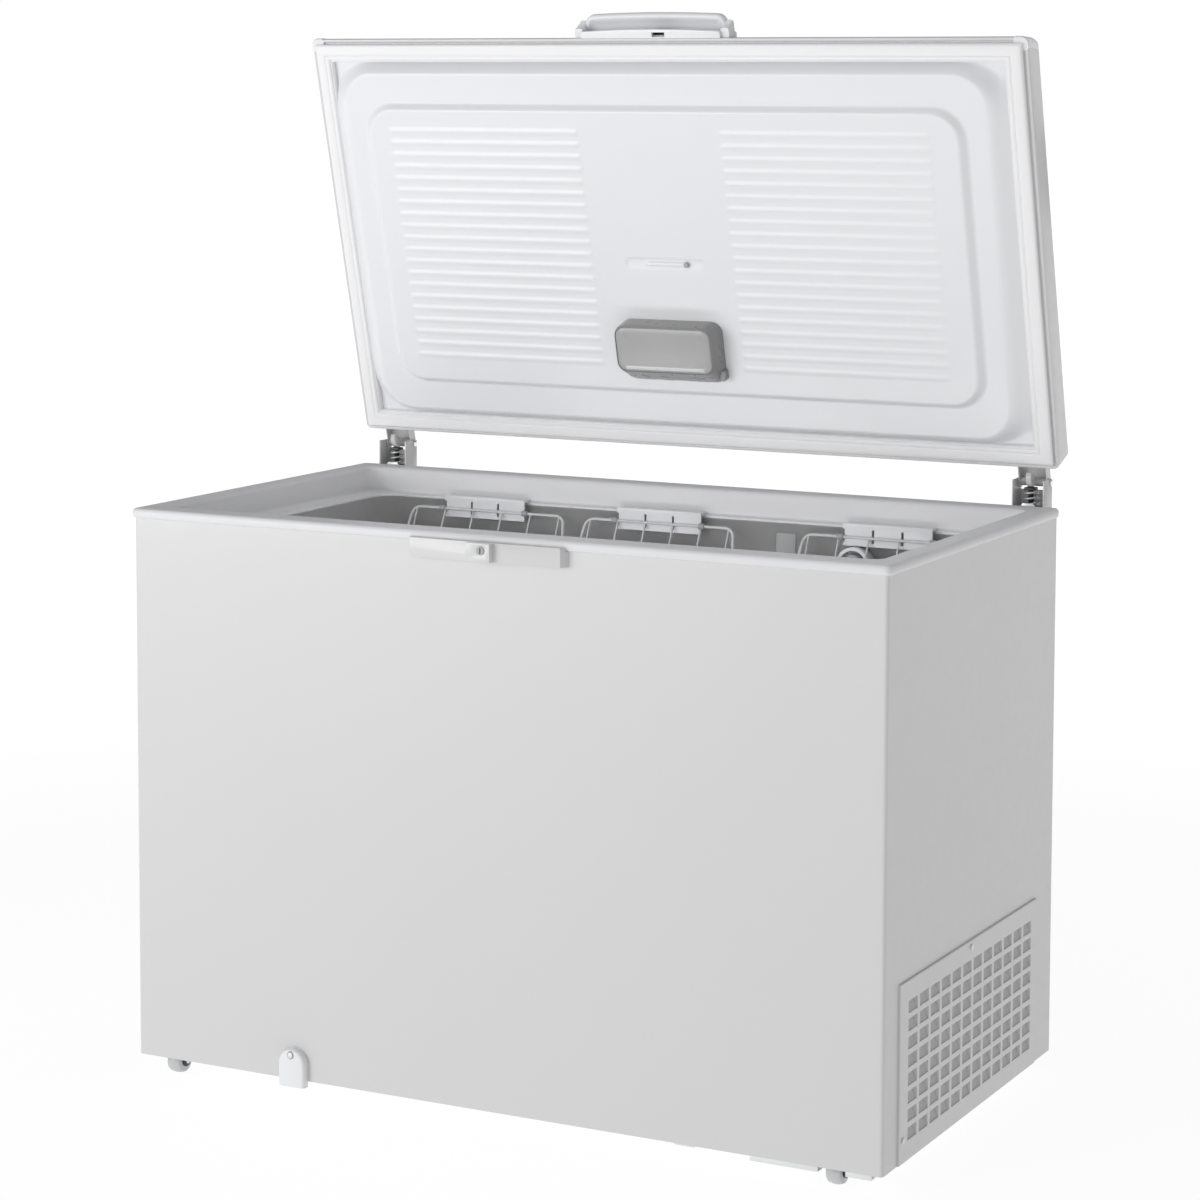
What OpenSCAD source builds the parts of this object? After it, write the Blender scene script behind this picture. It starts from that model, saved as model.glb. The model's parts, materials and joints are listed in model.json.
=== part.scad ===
// Chest freezer: foamed steel cabinet on four rollers, counterbalanced lid with lamp and lock,
// three sliding wire baskets, and a machine compartment behind a louvred side grille.
// Modules work from the cabinet's front face (y = 0) and lower edge (z = 0); stand() moves the
// whole to the origin, which is on the floor under the middle of the object with its lid open.

/* [Cabinet] */
// Outer width of the steel cabinet
body_w = 1180; // [1120:10:1240]
// Outer depth of the steel cabinet
body_d = 642; // [632:2:652]
// Height of the cabinet from its lower edge to the collar
body_h = 795; // [785:5:815]
// Height of the cabinet's lower edge above the floor
foot_h = 28; // [26:1:30]
// Thickness of the steel sheets
sheet = 1; // [0.8:0.1:1.2]
// Outer radius of the cabinet's front corners
corner_r = 5; // [3:1:8]

/* [Tub] */
// Half width of the tub inside
tub_half_w = 525; // [515:5:525]
// Distance from the front face to the tub's front wall
tub_front = 62; // [60:1:64]
// Distance from the front face to the tub's back wall
tub_back = 592; // [588:1:592]
// Height of the tub floor
tub_floor = 46; // [46:1:50]
// Height of the step over the machine compartment
step_floor = 330; // [320:5:340]
// Corner radius of the tub
tub_r = 35; // [25:5:45]

/* [Collar] */
// Height of the rounded bead around the cabinet's top
rim_h = 14; // [12:1:14]
// How far the bead stands out past the cabinet
rim_over = 4.5; // [3:0.5:4.5]
// Width of the collar's flat top
rim_w = 45; // [42:1:45]

/* [Lid] */
// How far the lid stands open from closed, in degrees
lid_open = 75.6; // [60:0.1:75.6]
// Thickness of the lid above its lower edge
lid_t = 58; // [54:1:60]
// Gap between the collar and the lid's lower edge, filled by the gasket
lid_gap = 10.5; // [10:0.5:11]
// Depth of the lid liner's first step
plateau_1 = 22; // [18:1:24]
// Further depth of the lid liner's second step
plateau_2 = 10; // [8:1:10]
// Number of stiffening ribs in each field of the lid liner
rib_count = 20; // [10:1:20]
// How far the handle reaches past the lid's front edge
handle_reach = 34; // [30:1:38]

/* [Hinges] */
// Distance from the middle of the cabinet to each hinge
hinge_x = 543; // [530:1:545]
// Distance of the hinge pins behind the cabinet
pin_back = 34; // [34:1:34]
// Diameter of the hinge pins
pin_d = 6; // [5:0.5:7]
// Base circle radius of the lifting cam
cam_base_r = 14; // [13:0.5:14]

/* [Rollers] */
// Diameter of each roller
roller_d = 38; // [36:1:38]
// Width of each roller
roller_w = 21; // [18:1:22]

/* [Baskets] */
// Height of each basket's body
basket_h = 190; // [120:10:220]
// Thickness of the basket walls and bars
basket_t = 4; // [3:0.5:5]

/* [Hidden] */
$fn = 48;
eps = 0.01;
gap = 0.3;                                // clearance between curved faces of two bodies
half_w = body_w / 2;
rim_z = body_h + rim_h;                   // top of the collar
skirt_z = body_h - 25;                    // height of the ledge the baskets hang on
skirt_t = 3;
ledge_t = 4;
mouth = [half_w - rim_w + 13, rim_w, body_d - rim_w + 3];     // half width, front, back
pivot = [body_d + pin_back, rim_z + 32];  // hinge pin: y, z
lid_z = rim_z + lid_gap;                  // the closed lid's lower edge
lid_half_w = half_w + 1;
lid_y = [-1, body_d + 4];                 // the closed lid's front and rear faces
lid_top = lid_z + lid_t;
lid_corner_r = 9;
lid_lean = [18, 4];                       // how far the skin's front and sides lean inwards, degrees
lean_z = lid_z + 6;                       // where that lean starts
flange_z = lid_z + 3;                     // the lid liner's flange
liner_t = 2.5;
plateau_z = lid_z - plateau_1;
plateau_z2 = plateau_z - plateau_2;
step_1 = [515, 50, 594, 50];              // lid liner's steps: half width, front, back, corner radius
step_2 = [487, 103, 542, 45];
ribs_x = [[-456, -118], [111, 449]];
rib_y = 142;
rib_pitch = 18.9;
rib_r = 4;
gasket = [586, 4, 641];                   // outer half width, front, back
gasket_w = 30;
lamp_deep = 37;
lamp = [85, 428, 524, 18];                // half width, front, back, corner radius
bulb = [-52, 476, 17];                    // end of the bulb: x, y, depth below the liner
bay = [362, 55, 567, 240];                // machine compartment: left, front, back, top
step_x = bay[0] - 62;                     // where the tub floor steps up over it
lock_z = 790;                             // height of the lock's axis
lock_plate_z = [773, 800];
lock_plate_t = 14;
tongue_y = [-8, -5];
shelf_y = -13;                            // front of the handle's shelf
handle_z = [lid_z + 20, lid_z + 36];
drain_x = -319;
drain_y = 110;
drain_z = 22;
roller_r = roller_d / 2;
axle_d = 6;
axle_z = roller_r - foot_h;
roller_places = [[-538, 28], [515, 28], [-538, body_d - 32], [515, body_d - 32]];
arm_w = 45;                               // outer width of a hinge arm
base_w = 50;                              // outer width of a hinge base
hinge_t = 2;
ear_r = 9;
hinge_screw_z = [712, 768];
arm_screw_x = [-13, 13];                  // screws that hold a hinge arm to the lid
sleeve_r = 6;                             // sleeve that joins the cam to the arm's ears
cam_start = 6;                            // height of the cam's contact below the pin with the lid open
cam_w = 8;
plunger_y = pivot[0] - cam_base_r;
plunger_top = pivot[1] - cam_start - gap;
plunger_d = 8;
guide_z = 770;                            // shelf in the hinge base that carries the spring
spring_wire = 3;
spring_r = 9.4;
spring_turns = 7;
baskets = [[-476, -175], [-166, 116], [202, 490]];
basket_y = [70, 560];
basket_top = 752;                         // top of the basket bodies, where their frames sit
frame_y = [66, 578];
grip_mid = [-333, -27, 350];
probe = [299, 713];                       // housing on the back wall: x, z
grip_w = 143;
grip_z = [741, 766];
coil_d = 8;
coil_pitch = 66;
coil_rows = 6;
coil_z = 390;
coil_off = sheet + coil_d / 2 + 2;         // distance of the coil's middle outside the tub
coil_end = 40;                            // half the gap in each coil ring at the back
comp = [470, 300];                        // compressor: x, y
comp_r = 74;
comp_z = [22, 190];
comp_feet = [60, 45];                     // half pitches of the compressor's four feet
gland_z = 60;
web_z = 9;                                // height of a hinge arm's web above the pin
white = [0.95, 0.95, 0.95];
steel = [0.72, 0.74, 0.76];
lock_front = -25.5;                       // front end of the lock cylinder
lid_rear = pivot[0] + (lid_y[1] - pivot[0]) * cos(lid_open) + (lid_top - pivot[1]) * sin(lid_open);
origin_y = round((lock_front + lid_rear) / 2);   // middle of the depth with the lid open

// Moves a part from the cabinet's front lower edge to the object's origin on the floor
module stand() translate([0, -origin_y, foot_h]) children();

// Turns a closed lid's part about the hinge pins to the open rest position
module on_lid() stand() translate([0, pivot[0], pivot[1]]) rotate([-lid_open, 0, 0])
  translate([0, -pivot[0], -pivot[1]]) children();

// Flat rectangle with round corners
module rrect(x0, x1, y0, y1, r) {
  translate([x0 + r, y0]) square([x1 - x0 - 2 * r, y1 - y0]);
  translate([x0, y0 + r]) square([x1 - x0, y1 - y0 - 2 * r]);
  for (x = [x0 + r, x1 - r], y = [y0 + r, y1 - r]) translate([x, y]) circle(r);
}

module rbox(x0, x1, y0, y1, z0, z1, r)
  translate([0, 0, z0]) linear_extrude(z1 - z0) rrect(x0, x1, y0, y1, r);

module box(x0, x1, y0, y1, z0, z1) translate([x0, y0, z0]) cube([x1 - x0, y1 - y0, z1 - z0]);

// Round rod between two points
module rod(a, b, d) {
  v = b - a;
  translate(a) rotate([0, acos(v[2] / norm(v)), atan2(v[1], v[0])]) cylinder(d = d, h = norm(v), $fn = 24);
}

// Bent tube through a list of points, with round elbows
module tube_path(points, d) {
  for (i = [0:len(points) - 2]) rod(points[i], points[i + 1], d);
  for (i = [1:len(points) - 2]) translate(points[i]) sphere(d = d, $fn = 24);
}

module rod_x(x0, x1, y, z, d) translate([x0, y, z]) rotate([0, 90, 0]) cylinder(d = d, h = x1 - x0);
module rod_y(x, y0, y1, z, d) translate([x, y1, z]) rotate([90, 0, 0]) cylinder(d = d, h = y1 - y0);

// Pan-head screw with a cross recess, pointing along -Y into a face at y = 0
module screw_y(x, y, z, head_d = 9) translate([x, y, z]) rotate([90, 0, 0]) difference() {
  union() {
    cylinder(d = head_d, h = 2.2);
    translate([0, 0, 2.2 - eps]) cylinder(d = head_d * 0.7, h = 1);
  }
  for (a = [0, 90]) rotate([0, 0, a]) translate([-head_d * 0.3, -0.6, 1.4]) cube([head_d * 0.6, 1.2, 3]);
}

// ---- Cabinet ----

module tub_space(grow, z_top) {
  x1 = tub_half_w + grow;
  rbox(-x1, x1, tub_front - grow, tub_back + grow, step_floor - grow, z_top, tub_r + grow);
  rbox(-x1, step_x + grow, tub_front - grow, tub_back + grow, tub_floor - grow, z_top, tub_r + grow);
}

module grille_opening() box(half_w - 8, half_w + 8, bay[1], bay[2], -eps, bay[3]);

module cabinet_shell() color(white) stand() difference() {
  linear_extrude(body_h) difference() {
    rrect(-half_w, half_w, 0, body_d + 2 * corner_r, corner_r);
    rrect(-half_w + sheet, half_w - sheet, sheet, body_d + 2 * corner_r + 1, corner_r - sheet);
    translate([-half_w - 1, body_d]) square([body_w + 2, 4 * corner_r]);
  }
  grille_opening();
  rod_y(drain_x, -1, sheet + 1, drain_z, 18);
}

module rear_panel() color(white) stand() difference() {
  box(-half_w + sheet, half_w - sheet, body_d - sheet, body_d, 0, body_h);
  rod_y(comp[0], body_d - 5, body_d + 1, gland_z, 20);
}

module roller_pockets() for (p = roller_places)
  translate([p[0] - 14, p[1] - 24, -eps]) cube([28, 48, 14.2]);

module base_panel() color([0.55, 0.57, 0.6]) stand() difference() {
  rbox(-half_w + sheet, half_w - sheet, sheet, body_d - sheet, 0, sheet, corner_r - sheet);
  box(bay[0], half_w, bay[1], bay[2], -1, 5);
  roller_pockets();
}

module inner_liner() color([0.82, 0.83, 0.85]) stand() difference() {
  tub_space(sheet, skirt_z - ledge_t);
  tub_space(0, skirt_z + 1);
  translate([drain_x, drain_y, 0]) cylinder(d = 18, h = tub_floor + 1);
}

module coil_path(grow, d) for (i = [0:coil_rows - 1]) {
  z = coil_z + i * coil_pitch;
  x = tub_half_w + grow;
  y0 = tub_front - grow;
  y1 = tub_back + grow;
  side = i % 2 == 0 ? 1 : -1;
  xe = side * coil_end;
  tube_path([[coil_end, y1, z], [x, y1, z], [x, y0, z], [-x, y0, z], [-x, y1, z],
    [-coil_end, y1, z]], d);
  if (i < coil_rows - 1) rod([xe, y1, z - d / 2], [xe, y1, z + coil_pitch + d / 2], d);
}

module evaporator_coil() color("peru") stand() coil_path(coil_off, coil_d);

condenser_rows = 8;
condenser_pitch = 80;
condenser_z = 90;
condenser_x = [-540, 300];
condenser_y = body_d - sheet - coil_d / 2 - 1;
module condenser_coil() color([0.3, 0.3, 0.32]) stand() for (i = [0:condenser_rows - 1]) {
  y = condenser_y;
  z = condenser_z + i * condenser_pitch;
  xc = condenser_x[i % 2];
  rod([condenser_x[0], y, z], [condenser_x[1], y, z], coil_d);
  for (x = condenser_x) translate([x, y, z]) sphere(d = coil_d, $fn = 24);
  if (i < condenser_rows - 1) rod([xc, y, z], [xc, y, z + condenser_pitch], coil_d);
}

module cabinet_foam() color("wheat") stand() difference() {
  rbox(-half_w + sheet, half_w - sheet, sheet, body_d - sheet, sheet, body_h, 4);
  tub_space(sheet, body_h + 1);
  rbox(-mouth[0] - skirt_t, mouth[0] + skirt_t, mouth[1] - skirt_t, mouth[2] + skirt_t,
    skirt_z - ledge_t, body_h + 1, 20);
  box(bay[0], half_w, bay[1], bay[2], 0, bay[3]);
  roller_pockets();
  tub_x = tub_half_w + coil_off;
  y0 = tub_front - coil_off;
  y1 = tub_back + coil_off;
  r = coil_d / 2 + 0.2;
  for (i = [0:coil_rows - 1]) {
    z = coil_z + i * coil_pitch;
    difference() {
      box(-tub_x - r, tub_x + r, y0 - r, y1 + r, z - r, z + r);
      box(-tub_x + r, tub_x - r, y0 + r, y1 - r, z - 2 * r, z + 2 * r);
      box(-coil_end + r, coil_end - r, y1 - 2 * r, y1 + 2 * r, z - 2 * r, z + 2 * r);
    }
    xe = coil_end * (i % 2 == 0 ? 1 : -1);
    if (i < coil_rows - 1) box(xe - r, xe + r, y1 - r, y1 + r, z - r, z + coil_pitch + r);
  }
  yc = condenser_y - r;
  for (i = [0:condenser_rows - 1]) {
    z = condenser_z + i * condenser_pitch;
    box(condenser_x[0] - r, condenser_x[1] + r, yc, body_d, z - r, z + r);
    xc = condenser_x[i % 2];
    if (i < condenser_rows - 1) box(xc - r, xc + r, yc, body_d, z, z + condenser_pitch);
  }
  rod_y(drain_x, 0, drain_y, drain_z, 18);
  translate([drain_x, drain_y, drain_z - 9]) cylinder(d = 18, h = 60);
  rod_y(comp[0], bay[2] - 5, body_d, gland_z, 20);
}

module rim_frame() color(white) stand() difference() {
  union() {
    rbox(-half_w - rim_over, half_w + rim_over, -rim_over, body_d + rim_over, body_h, rim_z, 8);
    rbox(-mouth[0] - skirt_t, mouth[0] + skirt_t, mouth[1] - skirt_t, mouth[2] + skirt_t,
      skirt_z - ledge_t, body_h + 1, 20);
  }
  rbox(-mouth[0], mouth[0], mouth[1], mouth[2], skirt_z, rim_z + 1, 17);
  rbox(-tub_half_w, tub_half_w, tub_front, tub_back, skirt_z - 10, skirt_z + 1, tub_r);
}

// ---- Machine compartment ----

module compressor_tray() color([0.45, 0.46, 0.48]) stand() {
  difference() {
    box(bay[0] + 1, half_w - 4, bay[1] + 1, bay[2] - 1, 0, 2);
    for (x = comp_feet[0] * [-1, 1], y = comp_feet[1] * [-1, 1])
      translate([comp[0] + x, comp[1] + y, -1]) cylinder(d = 8.2, h = 5);
  }
  difference() {
    box(396, 495, 6, 34, -9, 0);
    box(395, 496, 8, 35, -7, -2);
  }
  difference() {
    box(535, 572, 6, 34, -9, 0);
    box(534, 573, 8, 35, -7, -2);
  }
  box(283, 313, 8, 30, -5, 0);
}

module compressor() color([0.12, 0.12, 0.13]) stand() translate([comp[0], comp[1], 0]) {
  mid = (comp_z[0] + comp_z[1]) / 2;
  rotate_extrude() difference() {
    union() {
      translate([0, comp_z[0] + 24]) square([comp_r, comp_z[1] - comp_z[0] - 48]);
      translate([0, comp_z[0]]) square([comp_r - 24, comp_z[1] - comp_z[0]]);
      for (z = [comp_z[0] + 24, comp_z[1] - 24]) translate([comp_r - 24, z]) circle(24);
      translate([0, mid - 3]) square([comp_r + 6, 6]);
    }
    translate([0, comp_z[0] + 12]) square([comp_r - 14, comp_z[1] - comp_z[0] - 24]);
    translate([-200, 0]) square([200, 400]);
  }
  difference() {
    rbox(-78, 78, -62, 62, comp_z[0] - 4, comp_z[0], 12);
    for (x = comp_feet[0] * [-1, 1], y = comp_feet[1] * [-1, 1])
      translate([x, y, 0]) cylinder(d = 14, h = 40);
  }
  rod([comp_r - 6, 20, mid + 30], [comp_r + 14, 20, mid + 30], 9);
  rod([-comp_r + 6, 20, mid + 20], [-comp_r - 14, 20, mid + 20], 9);
}

module compressor_mounts() color([0.2, 0.2, 0.2]) stand()
  for (x = comp_feet[0] * [-1, 1], y = comp_feet[1] * [-1, 1]) translate([comp[0] + x, comp[1] + y, 0]) {
    translate([0, 0, 2]) cylinder(d = 24, h = comp_z[0] - 6);
    translate([0, 0, 2]) cylinder(d = 13.8, h = comp_z[0] + 2);
    translate([0, 0, comp_z[0] + eps]) cylinder(d = 20, h = 3);
    translate([0, 0, -2]) cylinder(d = 8, h = 5);
  }

module relay_box() color([0.15, 0.15, 0.16]) stand() difference() {
  rbox(comp[0] - 32, comp[0] + 32, comp[1] - 108, comp[1] - 56, 66, 100, 5);
  translate([comp[0], comp[1], 0]) cylinder(r = comp_r + gap, h = 300);
}

drier = [392, 470];                       // filter drier: x, y
module filter_drier() color("peru") stand() translate([drier[0], drier[1], 0]) {
  translate([0, 0, 70]) cylinder(d = 20, h = 90);
  translate([0, 0, 55]) cylinder(d1 = 6, d2 = 20, h = 15);
  translate([0, 0, 160]) cylinder(d1 = 20, d2 = 6, h = 15);
}

module refrigerant_tubes() color("peru") stand() {
  mid = (comp_z[0] + comp_z[1]) / 2;
  right = [comp[0] + comp_r + 14, comp[1] + 20, mid + 30];
  left = [comp[0] - comp_r - 14, comp[1] + 20, mid + 20];
  up = left + [-6, 60, 60];
  tube_path([right, right + [10, 0, 0], right + [10, 120, 0], right + [10, 120, 60],
    [right[0] + 10, bay[2], right[2] + 60]], 6);
  tube_path([left, left + [-6, 0, 0], left + [-6, 60, 0], up, [bay[0], up[1], up[2]]], 6);
  tube_path([[drier[0], drier[1], 175], [drier[0], drier[1], 210], [drier[0], bay[2], 210]], 4);
  tube_path([[drier[0], drier[1], 55], [drier[0], drier[1], 30], [bay[0], drier[1], 30]], 4);
}

module thermostat() color([0.9, 0.9, 0.88]) stand() {
  rbox(bay[0], bay[0] + 34, 100, 160, 120, 205, 4);
  tube_path([[bay[0] + 17, 130, 205], [bay[0] + 17, 130, 225], [bay[0], 130, 225]], 3);
}

module cord_gland() color([0.12, 0.12, 0.12]) stand() difference() {
  union() {
    rod_y(comp[0], bay[2] - 3, body_d + 3, gland_z, 19.9);
    rod_y(comp[0], body_d, body_d + 4, gland_z, 28);
  }
  rod_y(comp[0], bay[2] - 5, body_d + 6, gland_z, 9);
}

grille_cols = 12;
grille_rows = 8;
grille_y = [75, 553];
grille_z = [24, 221];
grille_plate = [50, 572, 245];            // front, back and top of the plate
grille_screws = [[308, 235], [62, 32]];   // y, z
module side_grille() color(white) stand() {
  cell_y = (grille_y[1] - grille_y[0]) / grille_cols;
  cell_z = (grille_z[1] - grille_z[0]) / grille_rows;
  difference() {
    union() {
      box(half_w, half_w + 3, grille_plate[0], grille_plate[1], 0, grille_plate[2]);
      box(half_w - 4, half_w + 1, bay[1] + 1, bay[2] - 1, 3, bay[3] - 1);
    }
    for (i = [0:grille_cols - 1], j = [0:grille_rows - 1])
      translate([half_w - 6, grille_y[0] + (i + 0.1) * cell_y, grille_z[0] + (j + 0.16) * cell_z])
        cube([12, cell_y * 0.8, cell_z * 0.68]);
    for (p = grille_screws) rod_x(half_w - 6, half_w + 4, p[0], p[1], 4);
  }
  for (j = [0:grille_rows - 1])
    translate([half_w - 4, grille_y[0] + 3, grille_z[0] + (j + 0.5) * cell_z]) rotate([0, 35, 0])
      translate([-6, 0, -0.6]) cube([9, grille_y[1] - grille_y[0] - 6, 1.2]);
}

module cover_screws() color(steel) stand() {
  for (p = grille_screws) {
    rod_x(half_w - 8, half_w + 3, p[0], p[1], 3.9);
    rod_x(half_w + 3, half_w + 5, p[0], p[1], 9);
  }
  rod_y(drain_x, -12, -2, 38, 4);
  rod_y(drain_x, -13.5, -12, 38, 8);
}

// ---- Lock ----

module lock_plate() color(white) stand() difference() {
  union() {
    translate([0, 0, lock_plate_z[0]]) linear_extrude(lock_plate_z[1] - lock_plate_z[0])
      polygon([[-124, 0], [-118, -lock_plate_t], [118, -lock_plate_t], [124, 0]]);
    box(-24, 14, -24, -lock_plate_t + eps, lock_plate_z[0] + 1, lock_plate_z[1]);
  }
  box(-130, 130, -5, 1, body_h, 810);
  box(-9, 40, tongue_y[0] - 0.5, tongue_y[1] + 0.5, lock_z - 9, 810);
  rod_y(0, -30, tongue_y[0], lock_z, 12.1);
}

module lock_cylinder() color([0.8, 0.8, 0.82]) stand() difference() {
  union() {
    rod_y(0, lock_front, tongue_y[0], lock_z, 12);
    rod_y(0, tongue_y[0] - eps, tongue_y[1], lock_z, 5);
  }
  box(-1, 1, -27, -19, lock_z - 4, lock_z + 4);
}

module lock_tongue() color(steel) stand() difference() {
  union() {
    box(0, 36, tongue_y[0], tongue_y[1], lock_z - 3.5, lock_z + 3.5);
    rod_y(0, tongue_y[0], tongue_y[1], lock_z, 14);
  }
  rod_y(0, -12, 0, lock_z, 5);
}

// ---- Drain ----

module drain_cover() color(white) stand() difference() {
  translate([drain_x, 0, 0]) rotate([90, 0, 0]) linear_extrude(12) {
    translate([-22, -8]) square([44, 33]);
    translate([0, 25]) circle(22);
  }
  box(drain_x - 13, drain_x + 13, -8, 1, 6, 32);
  rod_y(drain_x, -13, 1, 38, 4);
}

module drain_tube() color([0.85, 0.85, 0.82]) stand() difference() {
  union() {
    rod_y(drain_x, -5, drain_y, drain_z, 17.8);
    translate([drain_x, drain_y, drain_z]) sphere(d = 17.8);
    translate([drain_x, drain_y, drain_z]) cylinder(d = 17.8, h = tub_floor - sheet - drain_z);
  }
  rod_y(drain_x, -6, drain_y, drain_z, 14);
  translate([drain_x, drain_y, drain_z]) sphere(d = 14);
  translate([drain_x, drain_y, drain_z]) cylinder(d = 14, h = 60);
}

module drain_plug() color([0.35, 0.36, 0.38]) stand() translate([drain_x, drain_y, 0]) {
  translate([0, 0, tub_floor]) cylinder(d = 36, h = 3);
  translate([0, 0, tub_floor - 1 - 12]) cylinder(d = 13.9, h = 13 + eps);
  translate([0, 0, tub_floor + 3 - eps]) cylinder(d = 10, h = 8);
  translate([0, 0, tub_floor + 11 - eps]) cylinder(d = 18, h = 3);
}

// ---- Fittings on the tub's back wall ----

module probe_housing() color(white) stand() difference() {
  rod_y(probe[0], tub_back - 24, tub_back, probe[1], 54);
  rod_y(probe[0], tub_back - 26, tub_back - 4, probe[1], 44);
  box(probe[0] + 11, probe[0] + 41, tub_back - 30, tub_back - 4, probe[1] - 33, probe[1]);
}

module probe_tube() color([0.6, 0.61, 0.63]) stand() difference() {
  rod_y(probe[0] - 2, tub_back - 22, tub_back - 4, probe[1] + 3, 26);
  rod_y(probe[0] + 1, tub_back - 30, tub_back - 12, probe[1] + 3, 16);
}

module liner_plate() color([0.66, 0.66, 0.66]) stand()
  box(165, 197, tub_back - 2, tub_back, 600, 751);

// ---- Rollers ----

module roller_brackets() color([0.35, 0.36, 0.38]) stand() for (p = roller_places)
  translate([p[0], p[1], 0]) difference() {
    union() {
      box(-14, 14, -24, 24, 12, 14);
      for (s = [-1, 1]) translate([s * (roller_w / 2 + 2) - 1, 0, 0]) {
        box(0, 2, -16, 16, 2, 13);
        box(0, 2, -9, 9, axle_z, 3);
        rod_x(0, 2, 0, axle_z, 18);
      }
    }
    rod_x(-20, 20, 0, axle_z, axle_d);
  }

module roller_axles() color(steel) stand() for (p = roller_places)
  translate([p[0], p[1], 0]) {
    rod_x(-roller_w / 2 - 4, roller_w / 2 + 4, 0, axle_z, axle_d);
    for (s = [-1, 1]) translate([s * (roller_w / 2 + 4.5), 0, 0]) rod_x(-0.5, 0.5, 0, axle_z, 9);
  }

module roller(i) color([0.75, 0.76, 0.77]) stand()
  translate([roller_places[i][0], roller_places[i][1], axle_z]) rotate([0, 90, 0]) rotate_extrude() {
    bore_r = axle_d / 2 + 0.05;
    crown = [for (k = [-4:4]) [roller_r - 2.2 * pow(k / 4, 2), k / 4 * roller_w / 2]];
    polygon(concat([[bore_r, -roller_w / 2]], crown, [[bore_r, roller_w / 2]]));
  }

module roller_front_left() roller(0);
module roller_front_right() roller(1);
module roller_rear_left() roller(2);
module roller_rear_right() roller(3);

// ---- Hinges ----

module at_hinge(side) translate([side * hinge_x, 0, 0]) children();

module hinge_base(side) color(white) stand() at_hinge(side) {
  hw = base_w / 2;
  difference() {
    union() {
      for (s = [-1, 1]) translate([s * (hw - hinge_t / 2) - hinge_t / 2, 0, 0]) {
        box(0, hinge_t, body_d, pivot[0] + 7, 690, body_h - 2);
        box(0, hinge_t, body_d + 6, pivot[0] + 7, body_h - 3, pivot[1] + 5);
      }
      box(-hw, hw, pivot[0] + 5, pivot[0] + 7, 690, pivot[1] - 12);
      box(-hw + 1, hw - 1, body_d + 6, pivot[0] + 6, guide_z - 2, guide_z);
      for (s = [-1, 1]) box(s * (hw + 7) - 8, s * (hw + 7) + 8, body_d, body_d + hinge_t, 692, 788);
    }
    rod_x(-hw - 1, hw + 1, pivot[0], pivot[1], pin_d);
    translate([0, plunger_y, guide_z - 5]) cylinder(d = plunger_d + 0.1, h = 10);
    for (s = [-1, 1], z = hinge_screw_z) rod_y(s * (hw + 8), body_d - 1, body_d + 5, z, 5);
  }
}

module hinge_base_left() hinge_base(-1);
module hinge_base_right() hinge_base(1);

module hinge_screws() color(steel) stand() for (side = [-1, 1], s = [-1, 1], z = hinge_screw_z)
  translate([side * hinge_x + s * (base_w / 2 + 8), body_d, z]) {
    rotate([-90, 0, 0]) cylinder(d = 4.9, h = hinge_t);
    translate([0, hinge_t, 0]) rotate([-90, 0, 0]) cylinder(d = 10, h = 3);
  }

module hinge_pins() color([0.85, 0.86, 0.88]) stand() for (side = [-1, 1]) at_hinge(side) {
  rod_x(-base_w / 2 - 1, base_w / 2 + 1, pivot[0], pivot[1], pin_d);
  for (s = [-1, 1]) rod_x(s * (base_w / 2 + 1) - 1, s * (base_w / 2 + 1) + 1, pivot[0], pivot[1], 10);
}

// Point of the cam where it presses the plunger with the lid turned by q degrees from rest
function cam_point(q) = let (fall = cam_start + cam_base_r * q * PI / 180)
  [-cam_base_r * cos(q) - fall * sin(q), cam_base_r * sin(q) - fall * cos(q)];

module cam() translate([-cam_w / 2, pivot[0], pivot[1]]) rotate([90, 0, 90]) linear_extrude(cam_w)
  polygon(concat([for (q = [-12:8:84]) cam_point(q)], [cam_point(84) + [3, 5], [-2, 5], [-4, -3]]));

module hinge_arm(side) color(white) {
  hw = arm_w / 2;
  stand() at_hinge(side) difference() {
    union() {
      cam();
      rod_x(-hw + hinge_t, hw - hinge_t, pivot[0], pivot[1], 2 * sleeve_r);
    }
    rod_x(-hw, hw, pivot[0], pivot[1], pin_d + 0.1);
  }
  on_lid() at_hinge(side) difference() {
    union() {
      for (s = [-1, 1]) translate([s * (hw - hinge_t / 2) - hinge_t / 2, 0, 0]) {
        box(0, hinge_t, lid_y[1] + 1, pivot[0] + 2, pivot[1] - 6, pivot[1] + web_z);
        rod_x(0, hinge_t, pivot[0], pivot[1], 2 * ear_r);
      }
      box(-hw, hw, lid_y[1], lid_y[1] + hinge_t, pivot[1] - 10, lid_top - 9);
      box(-hw, hw, lid_y[1] + 1, pivot[0] + 3, pivot[1] + web_z - hinge_t, pivot[1] + web_z);
    }
    rod_x(-hw - 1, hw + 1, pivot[0], pivot[1], pin_d + 0.1);
    for (x = arm_screw_x) rod_y(x, lid_y[1] - 1, lid_y[1] + 4, lid_top - 16, 5);
  }
}

module hinge_arm_left() hinge_arm(-1);
module hinge_arm_right() hinge_arm(1);

module hinge_plunger(side) color([0.25, 0.25, 0.27]) stand() at_hinge(side)
  translate([0, plunger_y, 0]) {
    translate([0, 0, guide_z - 24]) cylinder(d = plunger_d, h = plunger_top - guide_z + 20);
    translate([-8, -9, plunger_top - 4]) cube([16, 16, 4]);
  }

module hinge_plunger_left() hinge_plunger(-1);
module hinge_plunger_right() hinge_plunger(1);

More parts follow.
